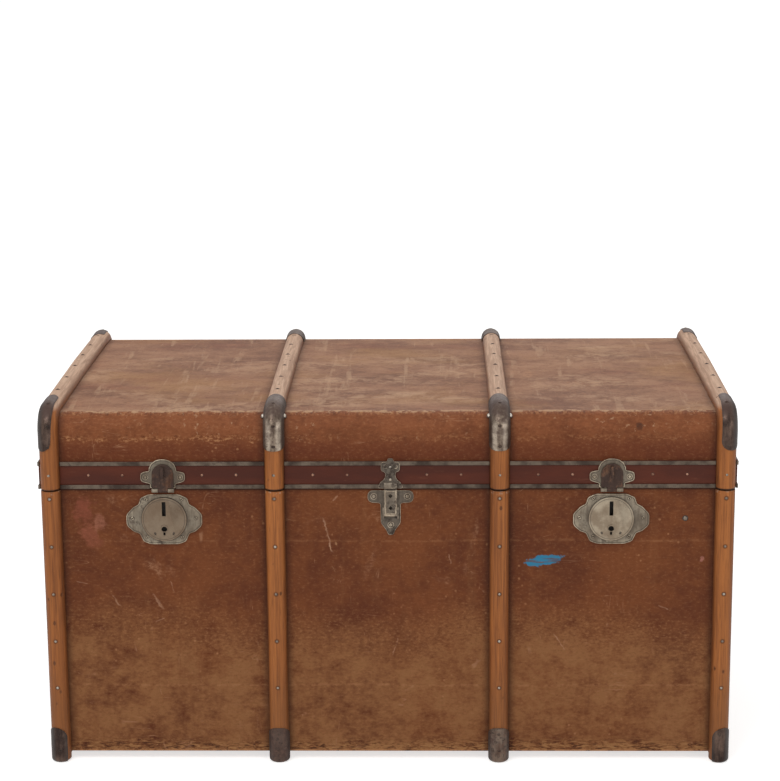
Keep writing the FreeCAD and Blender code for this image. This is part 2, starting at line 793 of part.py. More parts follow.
def haspPlate(side, x):
    # plate on the lid, with the two outer knuckles of the hasp's hinge
    front = -plate_front
    sheet_back = front + v.hasp_plate
    panel_low = v.parting + v.barrel_radius - v.barrel_drop + v.hasp_clear
    arch_z = v.parting + v.hasp_panel_up
    pieces = [
        block(
            f"{side}_hasp_panel",
            (x - v.hasp_panel_half, front, panel_low),
            (x + v.hasp_panel_half, sheet_back, arch_z),
        ),
        rod(f"{side}_hasp_arch", "y", (x, front, arch_z), v.hasp_arch, v.hasp_plate),
    ]
    for number, step in enumerate((-1, 1)):
        ear = (x + step * v.hasp_ear_x, front, v.parting + v.hasp_ear_up)
        pieces.append(rod(f"{side}_hasp_ear_{number}", "y", ear, v.hasp_ear, v.hasp_plate))
    trim = block(
        f"{side}_hasp_trim",
        (x - v.hasp_arch, front, panel_low - v.hasp_arch),
        (x + v.hasp_arch, sheet_back, panel_low),
    )
    plate = cut(f"{side}_hasp_sheet", fuse(f"{side}_hasp_union", pieces), [trim])
    length = v.barrel_half - v.knuckle_half - v.hasp_knuckle_gap
    knuckles = []
    for name, start in (("near", x - v.barrel_half), ("far", x + v.barrel_half - length)):
        centre = (start, -hasp_axis_depth, hasp_axis_height)
        knuckles.append(rod(f"{side}_knuckle_{name}", "x", centre, v.barrel_radius, length))
        knuckles.append(
            block(
                f"{side}_web_{name}",
                (start, front, hasp_axis_height),
                (start + length, sheet_back, panel_low + v.hasp_plate),
            )
        )
    bore = rod(
        f"{side}_knuckle_bore",
        "x",
        (x - v.barrel_half, -hasp_axis_depth, hasp_axis_height),
        v.hasp_pin,
        2 * v.barrel_half,
    )
    return cut(f"{side}_hasp_plate", fuse(f"{side}_hasp_joined", [plate] + knuckles), [bore])


def hasp(side, x):
    # stored turned up against the lid, with its inner face and staple outward
    front = -hasp_back - v.hasp_sheet
    arch_z = hasp_axis_height + v.hasp_reach - v.hasp_half
    flap = block(
        f"{side}_flap",
        (x - v.hasp_half, front, hasp_axis_height + v.hasp_foot),
        (x + v.hasp_half, -hasp_back, arch_z),
    )
    tongue = block(
        f"{side}_tongue",
        (x - v.knuckle_half, front, hasp_axis_height),
        (x + v.knuckle_half, -hasp_back, hasp_axis_height + v.hasp_foot),
    )
    arch = rod(f"{side}_flap_arch", "y", (x, front, arch_z), v.hasp_half, v.hasp_sheet)
    centre = (x - v.knuckle_half, -hasp_axis_depth, hasp_axis_height)
    knuckle = rod(f"{side}_flap_knuckle", "x", centre, v.barrel_radius, 2 * v.knuckle_half)
    tip = front - v.staple_depth
    staple = block(
        f"{side}_staple",
        (x - v.staple_thick / 2, tip, hasp_axis_height + v.staple_near),
        (x + v.staple_thick / 2, front, hasp_axis_height + v.staple_far),
    )
    eye = block(
        f"{side}_eye",
        (x - v.staple_thick / 2, tip + v.staple_bridge, hasp_axis_height + v.staple_near + v.staple_leg),
        (x + v.staple_thick / 2, front, hasp_axis_height + v.staple_far - v.staple_leg),
    )
    bore = rod(f"{side}_flap_bore", "x", centre, v.hasp_pin + v.pin_fit, 2 * v.knuckle_half)
    keep(cut(f"{side}_hasp", fuse(f"{side}_hasp_all", [flap, tongue, arch, knuckle, staple]), [eye, bore]))


def locksAndHasps():
    keep(group("lock_plates", [lockPlate(side, x) for side, x in lock_places]))
    keep(group("lock_cases", [lockCase(side, x) for side, x in lock_places]))
    keep(group("hasp_plates", [haspPlate(side, x) for side, x in lock_places]))
    pins = []
    for side, x in lock_places:
        lockBolt(side, x)
        hasp(side, x)
        start = (x - v.barrel_half, -hasp_axis_depth, hasp_axis_height)
        pins.append(rod(f"{side}_hasp_pin", "x", start, v.hasp_pin, 2 * v.barrel_half))
    keep(group("hasp_pins", pins))


# Middle clasp

clasp_level = v.parting - v.clasp_top
lever_back = half_depth + v.clasp_sheet + v.lever_stand
clasp_axis_depth = lever_back + v.lever_sheet / 2 + v.lever_lean
clasp_axis_height = clasp_level - v.lever_length + v.lever_pivot


def claspBase():
    body = newBody("clasp_plate")
    x = v.clasp_shift
    bar_middle = clasp_level - v.clasp_bar_radius
    bar_low = bar_middle - v.clasp_bar_radius
    shield_low = v.parting - v.clasp_shield_drop
    point_low = v.parting - v.clasp_point_drop
    corners = [
        (x - v.clasp_bar_half, clasp_level),
        Arc(x - v.clasp_bar_half, bar_middle, True),
        (x - v.clasp_bar_half, bar_low),
        (x - v.clasp_shield_half, bar_low),
        (x - v.clasp_shield_half, shield_low),
        (x - v.clasp_point_half, point_low),
        Arc(x, point_low + v.clasp_point_half - v.clasp_tip, True),
        (x + v.clasp_point_half, point_low),
        (x + v.clasp_shield_half, shield_low),
        (x + v.clasp_shield_half, bar_low),
        (x + v.clasp_bar_half, bar_low),
        Arc(x + v.clasp_bar_half, bar_middle, True),
        (x + v.clasp_bar_half, clasp_level),
    ]
    pad(body, outline(body, "clasp_plate_shape", "XZ_Plane", corners, half_depth), v.clasp_sheet)
    cheeks = []
    near = v.lever_half + v.lever_fit
    face = -half_depth - v.clasp_sheet
    for name, low_x in (("left", x - near - v.cheek_sheet), ("right", x + near)):
        cheeks.append(
            block(
                f"clasp_cheek_{name}",
                (low_x, face - v.cheek_depth, clasp_axis_height - v.cheek_depth),
                (low_x + v.cheek_sheet, face, v.parting - v.cheek_drop),
            )
        )
    bore = rod(
        "clasp_bore",
        "x",
        (x - near - v.cheek_sheet, -clasp_axis_depth, clasp_axis_height),
        v.clasp_pin,
        2 * (near + v.cheek_sheet),
    )
    keep(cut("clasp_base", fuse("clasp_union", [body] + cheeks), [bore]))
    start = (x - near - v.cheek_sheet, -clasp_axis_depth, clasp_axis_height)
    keep(rod("clasp_pin", "x", start, v.clasp_pin, 2 * (near + v.cheek_sheet)))


def claspLever():
    body = newBody("lever_bar")
    x = v.clasp_shift
    low = clasp_axis_height
    high = clasp_level + v.lever_rise
    shape = outline(
        body,
        "lever_shape",
        "XZ_Plane",
        box2d(x - v.lever_half, low, x + v.lever_half, high),
        lever_back,
    )
    pad(body, shape, v.lever_sheet)
    holes = newSketch(body, "lever_holes", "XZ_Plane", lever_back)
    for rise in (v.lever_hole_low, v.lever_hole_high):
        z = low + rise
        draw(
            holes,
            [(x - v.lever_hole, z), (x, z - v.lever_hole), (x + v.lever_hole, z), (x, z + v.lever_hole)],
        )
    pocket(body, holes, v.lever_sheet, backward=True)
    start = (x - v.lever_half, -clasp_axis_depth, clasp_axis_height)
    heel = rod("lever_heel", "x", start, v.lever_sheet / 2 + v.clasp_pin / 2, 2 * v.lever_half)
    bore = rod("lever_bore", "x", start, v.clasp_pin + v.pin_fit, 2 * v.lever_half)
    keep(cut("clasp_lever", fuse("lever_union", [body, heel]), [bore]))


def catchPlate():
    body = newBody("catch_sheet")
    x = v.clasp_shift
    level = v.parting
    neck = level + v.catch_neck_up
    lobe_z = level + v.catch_lobe_up
    tip = level + v.catch_tip_up
    corners = [
        (x - v.catch_foot_half, level),
        (x + v.catch_foot_half, level),
        Arc(x + v.catch_flare_x, neck, False),
        (x + v.catch_neck_half, neck),
        (x + v.catch_lobe_x, lobe_z),
        (x, tip),
        (x - v.catch_lobe_x, lobe_z),
        (x - v.catch_neck_half, neck),
        Arc(x - v.catch_flare_x, neck, False),
    ]
    back = half_depth + v.band_front + v.strip_sheet
    pad(body, outline(body, "catch_shape", "XZ_Plane", corners, back), v.hasp_plate)
    lobes = []
    for number, step in enumerate((-1, 1)):
        centre = (x + step * v.catch_lobe_x, -plate_front, lobe_z)
        lobes.append(rod(f"catch_lobe_{number}", "y", centre, v.catch_lobe, v.hasp_plate))
    lip = block(
        "catch_lip",
        (x - v.lever_half, -plate_front - v.catch_lip, level),
        (x + v.lever_half, -plate_front, level + v.catch_lip_up),
    )
    keep(fuse("catch_plate", [body, lip] + lobes))


# Back hinges


def hinges():
    body_leaves = []
    lid_leaves = []
    pins = []
    axis_y = hinge_axis_depth
    for number, x in enumerate(hinge_places, start=1):
        inner = v.hinge_knuckle / 2
        outer = v.hinge_half
        length = outer - inner - v.hinge_gap
        low_start = (x - outer, axis_y, v.parting)
        high_start = (x - inner, axis_y, v.parting)
        low_pieces = [
            block(
                f"hinge_low_{number}",
                (x - outer, half_depth, v.parting - v.hinge_down),
                (x + outer, half_depth + v.hinge_leaf, v.parting - v.hinge_barrel),
            )
        ]
        for name, start in (("near", x - outer), ("far", x + outer - length)):
            low_pieces.append(
                rod(f"hinge_knuckle_{name}_{number}", "x", (start, axis_y, v.parting), v.hinge_barrel, length)
            )
            low_pieces.append(
                block(
                    f"hinge_web_{name}_{number}",
                    (start, half_depth, v.parting - v.hinge_barrel - v.hinge_web),
                    (start + length, axis_y, v.parting - v.hinge_barrel + v.hinge_web / 2),
                )
            )
        high_pieces = [
            block(
                f"hinge_high_{number}",
                (x - outer, half_depth, v.parting + v.hinge_barrel),
                (x + outer, half_depth + v.hinge_leaf, v.parting + v.hinge_up),
            ),
            rod(f"hinge_knuckle_mid_{number}", "x", high_start, v.hinge_barrel, 2 * inner),
            block(
                f"hinge_web_mid_{number}",
                (x - inner, half_depth, v.parting + v.hinge_barrel - v.hinge_web / 2),
                (x + inner, axis_y, v.parting + v.hinge_barrel + v.hinge_web),
            ),
        ]
        low_bore = rod(f"hinge_bore_low_{number}", "x", low_start, v.hinge_pin, 2 * outer)
        high_bore = rod(f"hinge_bore_high_{number}", "x", high_start, v.hinge_pin + v.pin_fit, 2 * inner)
        low_union = fuse(f"hinge_low_union_{number}", low_pieces)
        high_union = fuse(f"hinge_high_union_{number}", high_pieces)
        body_leaves.append(cut(f"hinge_leaf_low_{number}", low_union, [low_bore]))
        lid_leaves.append(cut(f"hinge_leaf_high_{number}", high_union, [high_bore]))
        pins.append(rod(f"hinge_pin_{number}", "x", low_start, v.hinge_pin, 2 * outer))
    keep(group("body_hinge_leaves", body_leaves))
    keep(group("lid_hinge_leaves", lid_leaves))
    keep(group("hinge_pins", pins))


# Bail handles on the ends

handle_depth = half_width + v.handle_stand
grip_height = v.handle_height - v.bail_drop


def handle(side, sense):
    body = newBody(f"{side}_handle_bail")
    arm = v.handle_half - v.ear_thick
    bend = v.bail_bend
    end = v.handle_half
    high = v.handle_height
    low = grip_height
    corners = [
        (-end, high),
        (-arm, high),
        Arc(-arm, high - bend, False),
        (-arm + bend, high - bend),
        (-arm + bend, low + bend),
        Arc(-arm + 2 * bend, low + bend, True),
        (-arm + 2 * bend, low),
        (arm - 2 * bend, low),
        Arc(arm - 2 * bend, low + bend, True),
        (arm - bend, low + bend),
        (arm - bend, high - bend),
        Arc(arm, high - bend, False),
        (arm, high),
        (end, high),
    ]
    path = draw(newSketch(body, f"{side}_bail_path", "YZ_Plane", sense * handle_depth), corners, closed=False)
    profile = newSketch(body, f"{side}_bail_wire", "XZ_Plane", end)
    middle = FreeCAD.Vector(sense * handle_depth.value, high.value, 0)
    circle = Part.Circle(middle, along["z"], v.bail_wire.value)
    index = profile.addGeometry(circle, False)
    pin(profile, "DistanceX", index, 3, sense * handle_depth)
    pin(profile, "DistanceY", index, 3, high)
    radius = profile.addConstraint(Sketcher.Constraint("Radius", index, v.bail_wire.value))
    bind(profile, f"Constraints[{radius}]", v.bail_wire)
    pipe(body, profile, path)
    keep(body)
    grip_half = arm - 2 * bend - v.grip_gap
    start = (sense * handle_depth, -grip_half, low)
    roll = rod(f"{side}_grip_roll", "y", start, v.grip_radius, 2 * grip_half)
    hole = rod(f"{side}_grip_hole", "y", start, v.bail_wire, 2 * grip_half)
    rounded = doc.addObject("Part::Fillet", f"{side}_grip_round")
    doc.recompute()
    rounded.Base = roll
    ends = [
        number
        for number, edge in enumerate(roll.Shape.Edges, start=1)
        if edge.Curve.TypeId == "Part::GeomCircle"
    ]
    rounded.Edges = [(number, v.grip_round.value, v.grip_round.value) for number in ends]
    keep(cut(f"{side}_handle_grip", rounded, [hole]))
    keep(group(f"{side}_handle_brackets", [bracket(side, sense, step) for step in (-1, 1)]))


def bracket(side, sense, step):
    # a foot plate on the trunk's end with an ear that carries the bail
    tag = f"{side}_{'front' if step < 0 else 'back'}"
    centre_y = step * (v.handle_half - v.ear_thick / 2)
    face = sense * half_width
    out = sense * (half_width + v.bracket_sheet)
    low_x, high_x = (face, out) if sense > 0 else (out, face)
    foot = block(
        f"{tag}_foot",
        (low_x, centre_y - v.bracket_half, v.handle_height - v.bracket_rise),
        (high_x, centre_y + v.bracket_half, v.handle_height + v.bracket_rise),
    )
    ear_x = sense * handle_depth
    low_x, high_x = (face, ear_x) if sense > 0 else (ear_x, face)
    ear_y = centre_y - v.ear_thick / 2
    neck = block(
        f"{tag}_neck",
        (low_x, ear_y, v.handle_height - v.ear_radius),
        (high_x, ear_y + v.ear_thick, v.handle_height + v.ear_radius),
    )
    centre = (ear_x, ear_y, v.handle_height)
    eye = rod(f"{tag}_eye", "y", centre, v.ear_radius, v.ear_thick)
    bore = rod(f"{tag}_bore", "y", centre, v.bail_wire + v.bail_fit, v.ear_thick)
    return cut(f"{tag}_bracket", fuse(f"{tag}_bracket_union", [foot, neck, eye]), [bore])


# Nails and screws: one turned shape each, copied to its places


def turned(name, head, dome, shank, length):
    # a domed head on a plain shank, with the head's underside at the origin and the head upwards
    body = newBody(name)
    radius = (head * head + dome * dome) / (2 * dome)
    corners = [
        (0, -length),
        (shank, -length),
        (shank, 0),
        (head, 0),
        Arc(0, dome - radius, True),
        (0, dome),
    ]
    shape = outline(body, name + "_shape", "XZ_Plane", corners)
    turn = body.newObject("PartDesign::Revolution", name + "_turn")
    turn.Profile = shape
    turn.ReferenceAxis = (shape, ["V_Axis"])
    turn.Angle = 360
    doc.recompute()
    return body


def scatter(master, spots):
    # copies of the master at each (x, y, z) spot, with the head facing the spot's direction
    copies = []
    for (x, y, z), facing in spots:
        copy = master.Shape.copy()
        turn = FreeCAD.Rotation(along["z"], FreeCAD.Vector(*facing))
        copy.Placement = FreeCAD.Placement(FreeCAD.Vector(x, y, z), turn)
        copies.append(copy)
    return copies


def fasteners():
    nail = turned("slat_nail", v.nail_head, v.nail_dome, v.nail_shank, v.nail_length)
    tack = turned("plate_tack", v.nail_head, v.nail_dome, v.nail_shank, v.tack_length)
    screw = turned("plate_screw", v.screw_head, v.screw_dome, v.screw_shank, v.screw_length)
    crown = half_depth.value + v.slat_height.value - v.nail_sink.value
    clip_crown = crown + v.clip_sheet.value
    top = v.parting.value - v.nail_first.value
    body_nails = []
    body_tacks = []
    for x in (place_x.value for place_x in slat_places):
        for step in (-1, 1):
            for number in range(nails_per_slat):
                z = top - number * v.nail_pitch.value
                body_nails.append(((x, step * crown, z), (0, step, 0)))
            for rise in (v.boot_nail_low, v.boot_nail_high):
                body_tacks.append(((x, step * clip_crown, rise.value), (0, step, 0)))
    body_tacks += hingeSpots(-1)
    for sense in (-1, 1):
        for step in (-1, 1):
            y = step * (v.handle_half.value - v.ear_thick.value / 2)
            for rise in (-1, 1):
                z = v.handle_height.value + rise * (v.bracket_rise.value + v.ear_radius.value) / 2
                x = sense * (half_width.value + v.bracket_sheet.value)
                body_tacks.append(((x, y, z), (sense, 0, 0)))
    keepShape("body_nails", scatter(nail, body_nails) + scatter(tack, body_tacks))
    lid_nails, lid_tacks = lidSpots(crown, clip_crown)
    lid_tacks += hingeSpots(1)
    keepShape("lid_nails", scatter(nail, lid_nails) + scatter(tack, lid_tacks))
    keepShape("lock_screws", scatter(screw, screwSpots()))


def hingeSpots(up):
    y = half_depth.value + v.hinge_leaf.value
    far = v.hinge_up if up > 0 else v.hinge_down
    z = v.parting.value + up * (far.value - v.hinge_nail_rise.value / 2)
    return [
        ((place_x.value + step * v.hinge_nail_x.value, y, z), (0, 1, 0))
        for place_x in hinge_places
        for step in (-1, 1)
    ]


def lidSpots(crown, clip_crown):
    nails = []
    tacks = []
    bow_radius = (bow_gap + v.lid_bend + v.slat_height - v.nail_sink).value
    bend = (v.lid_bend + v.slat_height + v.clip_sheet - v.nail_sink).value
    band_mid = v.parting.value + v.band_height.value / 2
    clip_low = (bend_height - v.bend_clip_drop + v.bend_nail_rise).value
    angles = [math.radians(size.value) for size in (v.bend_nail_low_angle, v.bend_nail_high_angle)]
    for x in (place_x.value for place_x in slat_places):
        nails.append(((x, -crown, v.parting.value + v.lid_nail_up.value), (0, -1, 0)))
        for number in range(nails_per_slat):
            y = bow_half.value - v.lid_nail_back.value - number * v.lid_nail_pitch.value
            rise = math.sqrt(bow_radius ** 2 - y ** 2)
            facing = (0, y / bow_radius, rise / bow_radius)
            nails.append(((x, y, bow_centre.value + rise), facing))
        for step in (-1, 1):
            tacks.append(((x, step * clip_crown, clip_low), (0, step, 0)))
            for angle in angles:
                facing = (0, step * math.cos(angle), math.sin(angle))
                spot = (
                    x,
                    step * bow_half.value + bend * facing[1],
                    bend_height.value + bend * facing[2],
                )
                tacks.append((spot, facing))
    band_face = -half_depth.value - v.band_front.value
    for panel in (place_x.value for place_x in panel_places):
        for offset in (v.band_nail_near.value, v.band_nail_far.value):
            for step in (-1, 1):
                tacks.append(((panel + step * offset, band_face, band_mid), (0, -1, 0)))
    face = -plate_front.value
    for side_x in (place_x.value for _, place_x in lock_places):
        for step in (-1, 1):
            ear_x = side_x + step * (v.hasp_ear_x + v.ear_nail_out).value
            tacks.append(((ear_x, face, v.parting.value + v.hasp_ear_up.value), (0, -1, 0)))
    x = v.clasp_shift.value
    for up in (v.catch_rivet_up.value, v.catch_lobe_up.value):
        tacks.append(((x, face, v.parting.value + up), (0, -1, 0)))
    return nails, tacks


def screwSpots():
    spots = []
    face = -half_depth.value - v.lock_plate.value
    for side_x in (place_x.value for _, place_x in lock_places):
        for step in (-1, 1):
            for offset, up in (
                (v.lock_screw_x, v.lock_screw_up),
                (v.lock_screw_x, -v.lock_screw_down),
                (v.lock_screw_far, v.lock_screw_mid),
            ):
                spots.append(((side_x + step * offset.value, face, lock_height.value + up.value), (0, -1, 0)))
    x = v.clasp_shift.value
    face = -half_depth.value - v.clasp_sheet.value
    bar_middle = clasp_level.value - v.clasp_bar_radius.value
    for step in (-1, 1):
        spots.append(((x + step * v.clasp_bar_half.value, face, bar_middle), (0, -1, 0)))
    spots.append(((x, face, v.parting.value - v.clasp_screw_drop.value), (0, -1, 0)))
    return spots


def keepShape(name, copies):
    item = doc.addObject("Part::Feature", name)
    item.Shape = Part.makeCompound(copies)
    item.Placement = FreeCAD.Placement()
    return keep(item)


bodyBoards()
closingLip()
bodySkins()
uprightSlats()
runners()
footClips()
lidBoards()
lidSlats()
bendClips()
rimBand()
rimStrips()
locksAndHasps()
claspBase()
claspLever()
catchPlate()
hinges()
handle("left", -1)
handle("right", 1)
fasteners()
doc.recompute()

faults = [item.Name for item in doc.Objects if {"Invalid", "Error"} & set(item.State)]
for node in nodes:
    if node.Shape.isNull() or not node.Shape.isValid() or not node.Shape.Solids:
        faults.append(node.Label)
if faults:
    raise RuntimeError(f"these objects failed: {faults}")
for node in nodes:
    node.Shape.exportStep(f"parts/{node.Label}.step")
    print(f"{node.Label}: {len(node.Shape.Solids)} solids, {node.Shape.Volume / 1000:.1f} cm3")
print(f"{len(nodes)} nodes")
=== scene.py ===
import bmesh
import bpy
import math
from mathutils import Euler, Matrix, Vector, noise


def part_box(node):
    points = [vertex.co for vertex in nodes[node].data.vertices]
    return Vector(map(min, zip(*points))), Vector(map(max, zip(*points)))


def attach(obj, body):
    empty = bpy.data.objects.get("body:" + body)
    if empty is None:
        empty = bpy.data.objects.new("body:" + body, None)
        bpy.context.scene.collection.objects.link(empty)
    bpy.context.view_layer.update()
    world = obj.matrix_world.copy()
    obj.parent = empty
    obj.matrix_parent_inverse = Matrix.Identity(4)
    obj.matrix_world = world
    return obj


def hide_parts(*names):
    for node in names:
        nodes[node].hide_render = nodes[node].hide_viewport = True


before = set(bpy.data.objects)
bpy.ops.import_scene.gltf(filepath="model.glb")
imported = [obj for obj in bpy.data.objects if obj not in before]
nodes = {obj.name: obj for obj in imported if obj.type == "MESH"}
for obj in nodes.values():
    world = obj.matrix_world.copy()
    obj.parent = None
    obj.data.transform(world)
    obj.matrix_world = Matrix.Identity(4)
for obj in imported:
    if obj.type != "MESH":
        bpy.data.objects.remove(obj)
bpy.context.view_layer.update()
scene = bpy.context.scene
# the dents of the sheet clips come from this noise
noise.seed_set(7)
print("frame loaded:", len(nodes), "nodes")


# shader maths: a socket that can be added, multiplied and compared like a number
class Field:
    def __init__(self, tree, socket):
        self.tree = tree
        self.socket = socket

    def math(self, operation, other=0.0, swap=False):
        node = self.tree.nodes.new("ShaderNodeMath")
        node.operation = operation
        values = [other, self] if swap else [self, other]
        for index, value in enumerate(values):
            feed(self.tree, node.inputs[index], value)
        return Field(self.tree, node.outputs[0])

    def __add__(self, other):
        return self.math("ADD", other)

    def __sub__(self, other):
        return self.math("SUBTRACT", other)

    def __rsub__(self, other):
        return self.math("SUBTRACT", other, swap=True)

    def __mul__(self, other):
        return self.math("MULTIPLY", other)

    def __abs__(self):
        return self.math("ABSOLUTE")

    __radd__ = __add__
    __rmul__ = __mul__

    def above(self, low, high):
        # 0 under low, 1 over high and smooth between them
        node = self.tree.nodes.new("ShaderNodeMapRange")
        node.interpolation_type = "SMOOTHSTEP"
        node.clamp = True
        feed(self.tree, node.inputs[0], self)
        node.inputs[1].default_value = low
        node.inputs[2].default_value = high
        return Field(self.tree, node.outputs[0])

    def below(self, low, high):
        return 1 - self.above(low, high)

    def near(self, middle, reach):
        return abs(self - middle).below(reach * 0.4, reach)

    def atMost(self, other):
        return self.math("MINIMUM", other)

    def atLeast(self, other):
        return self.math("MAXIMUM", other)

    def within(self, low, high):
        return self.atLeast(low).atMost(high)


def apart(across, rise):
    # a distance from its two parts
    return (across * across + rise * rise).math("SQRT")


def feed(tree, socket, value):
    if isinstance(value, Field):
        tree.links.new(value.socket, socket)
    elif isinstance(value, (tuple, list)) and len(value) == 3 and socket.type == "RGBA":
        socket.default_value = (*value, 1)
    else:
        socket.default_value = value


def linear(red, green, blue):
    # a colour named as it looks on a screen, 0 to 255
    parts = [value / 255 for value in (red, green, blue)]
    return tuple(p / 12.92 if p <= 0.04045 else ((p + 0.055) / 1.055) ** 2.4 for p in parts)


def tints(**colors):
    return {name: linear(*color) for name, color in colors.items()}


# levels that finishes and pieces share, from the frame
bend = {"radius": 0.024, "side": 0.002, "wall": 0.084, "crown": 0.0025, "crownRadius": 12.6}
fitting = {"lockX": 0.321, "lockZ": 0.369, "claspX": 0.005, "haspFace": -0.28185, "leverFace": -0.2813}
trunk = {
    "side": -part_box("body_canvas")[0].x, "front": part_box("body_canvas")[0].y,
    "foot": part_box("body_canvas")[0].z, "parting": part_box("body_canvas")[1].z,
    "bandTop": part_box("rim_band")[1].z, "top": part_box("lid_canvas")[1].z,
}
bend["edge"] = -trunk["front"] - bend["radius"]
slatPlaces = [sum(corner.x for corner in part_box(f"front_slat_{n}")) / 2 for n in (1, 2, 3, 4)]
slatHalf = (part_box("front_slat_2")[1].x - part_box("front_slat_2")[0].x) / 2


class Finish:
    # a material whose colour is laid on in coats; look holds the values of its kind
    def __init__(self, name, roughness, shine=0.5, look=None):
        self.material = bpy.data.materials.new(name)
        self.material.use_nodes = True
        self.tree = self.material.node_tree
        self.look = look
        self.color = None
        self.shader = self.tree.nodes["Principled BSDF"]
        self.shader.inputs["Roughness"].default_value = roughness
        self.shader.inputs["Specular IOR Level"].default_value = shine
        self.place = self.add("ShaderNodeTexCoord", out="Object")
        parts = self.tree.nodes.new("ShaderNodeSeparateXYZ")
        feed(self.tree, parts.inputs[0], self.place)
        self.x, self.y, self.z = (Field(self.tree, socket) for socket in parts.outputs)

    def add(self, kind, settings=None, out=0, **values):
        node = self.tree.nodes.new(kind)
        for key, value in (settings or {}).items():
            setattr(node, key, value)
        for key, value in values.items():
            feed(self.tree, node.inputs[key], value)
        return Field(self.tree, node.outputs[out])

    def stretched(self, where):
        # where a pattern is read: the place itself, or scaled in x, y and z and then moved
        if not where:
            return self.place
        scaled = self.tree.nodes.new("ShaderNodeVectorMath")
        scaled.operation = "MULTIPLY_ADD"
        feed(self.tree, scaled.inputs[0], self.place)
        scaled.inputs[1].default_value = where[:3]
        scaled.inputs[2].default_value = where[3] if len(where) > 3 else (0, 0, 0)
        return Field(self.tree, scaled.outputs[0])

    def noise(self, scale, detail=4, rough=0.55, where=None, twist=0.0):
        return self.add("ShaderNodeTexNoise", Vector=self.stretched(where), Scale=scale, Detail=detail,
                        Roughness=rough, Distortion=twist)

    def cells(self, scale, where=None, feature="F1"):
        return self.add("ShaderNodeTexVoronoi", {"feature": feature}, "Distance",
                        Vector=self.stretched(where), Scale=scale)

    def slatSide(self):
        # distance from the middle of the nearest slat
        side, *others = [abs(self.x - place) for place in slatPlaces]
        for other in others:
            side = side.atMost(other)
        return side

    def mix(self, factor, first, second):
        node = self.tree.nodes.new("ShaderNodeMix")
        node.data_type = "RGBA"
        for index, value in ((0, factor), (6, first), (7, second)):
            feed(self.tree, node.inputs[index], value)
        return Field(self.tree, node.outputs[2])

    def base(self, factor, first, second):
        self.color = self.mix(factor, first, second)

    def lay(self, mask, color):
        # color is a colour, or the name of one in look
        self.color = self.mix(mask, self.color, self.look[color] if isinstance(color, str) else color)

    def finish(self, roughness, height, depth, metallic=0.0):
        bump = self.add("ShaderNodeBump", out="Normal", Height=height, Distance=depth)
        for key, value in (("Base Color", self.color), ("Roughness", roughness), ("Metallic", metallic),
                           ("Normal", bump)):
            feed(self.tree, self.shader.inputs[key], value)
        return self.material


canvasLook = tints(
    body=(127, 72, 40), dark=(98, 50, 28), tide=(152, 103, 65), dirt=(58, 30, 20), thread=(176, 128, 82),
    top=(174, 130, 102), topDeep=(132, 93, 74), topGold=(180, 134, 88), topPale=(202, 164, 132),
    topRed=(144, 90, 72), bend=(154, 92, 58), lidWall=(106, 50, 29), worn=(202, 160, 124),
    fray=(190, 134, 90), speck=(184, 130, 90), scratch=(188, 138, 104), pale=(206, 160, 128),
) | {"tideLevel": 0.145, "tideFade": 0.11, "dirtReach": 0.013, "roughness": 0.66, "shine": 0.18,
     "grain": 0.0003, "wallTop": 0.478, "wallFade": 0.016, "fold": 0.489}
# single stains on the front: x, z, radius and colour
canvasMarks = [
    (0.359, 0.504, 0.0065, (52, 36, 32)), (0.452, 0.309, 0.004, (190, 128, 112)),
    (-0.436, 0.386, 0.020, (146, 80, 60)), (-0.428, 0.345, 0.018, (150, 86, 64)),
    (-0.416, 0.366, 0.012, (168, 108, 84)),
    (-0.0745, 0.331, 0.0028, (190, 140, 100)), (-0.0795, 0.345, 0.0022, (176, 122, 84)),
]
# single pale scratches on the front: from x, z to x, z, half width and strength
canvasScratches = [
    (-0.0935, 0.373, -0.0785, 0.316, 0.0019, 0.75), (-0.0700, 0.404, -0.0775, 0.395, 0.0012, 0.5),
    (-0.3405, 0.257, -0.3270, 0.231, 0.0017, 0.7), (-0.3420, 0.213, -0.3250, 0.219, 0.0010, 0.45),
    (-0.4030, 0.256, -0.3890, 0.236, 0.0014, 0.5), (-0.3160, 0.276, -0.3105, 0.257, 0.0010, 0.5),
    (-0.4530, 0.275, -0.4350, 0.271, 0.0009, 0.4), (0.0880, 0.316, 0.0935, 0.300, 0.0013, 0.45),
    (0.2400, 0.196, 0.2560, 0.168, 0.0011, 0.5),
    (0.0150, 0.190, 0.0060, 0.160, 0.0012, 0.45), (0.3900, 0.238, 0.4060, 0.231, 0.0011, 0.4),
]
# fine scratches all over: x, y and z scale, seed, width, how rare and how strong
canvasHairs = [
    (110, 14, 9, 2, 0.010, 0.62, 0.34), (9, 110, 80, 5, 0.010, 0.60, 0.4),
    (24, 24, 7, 9, 0.012, 0.66, 0.5), (10, 20, 26, 14, 0.012, 0.67, 0.45),
]
smearLook = {"x": 0.225, "z": 0.306, "halfLength": 0.033, "halfHeight": 0.0095, "slant": 0.16,
             "color": linear(50, 138, 176)}


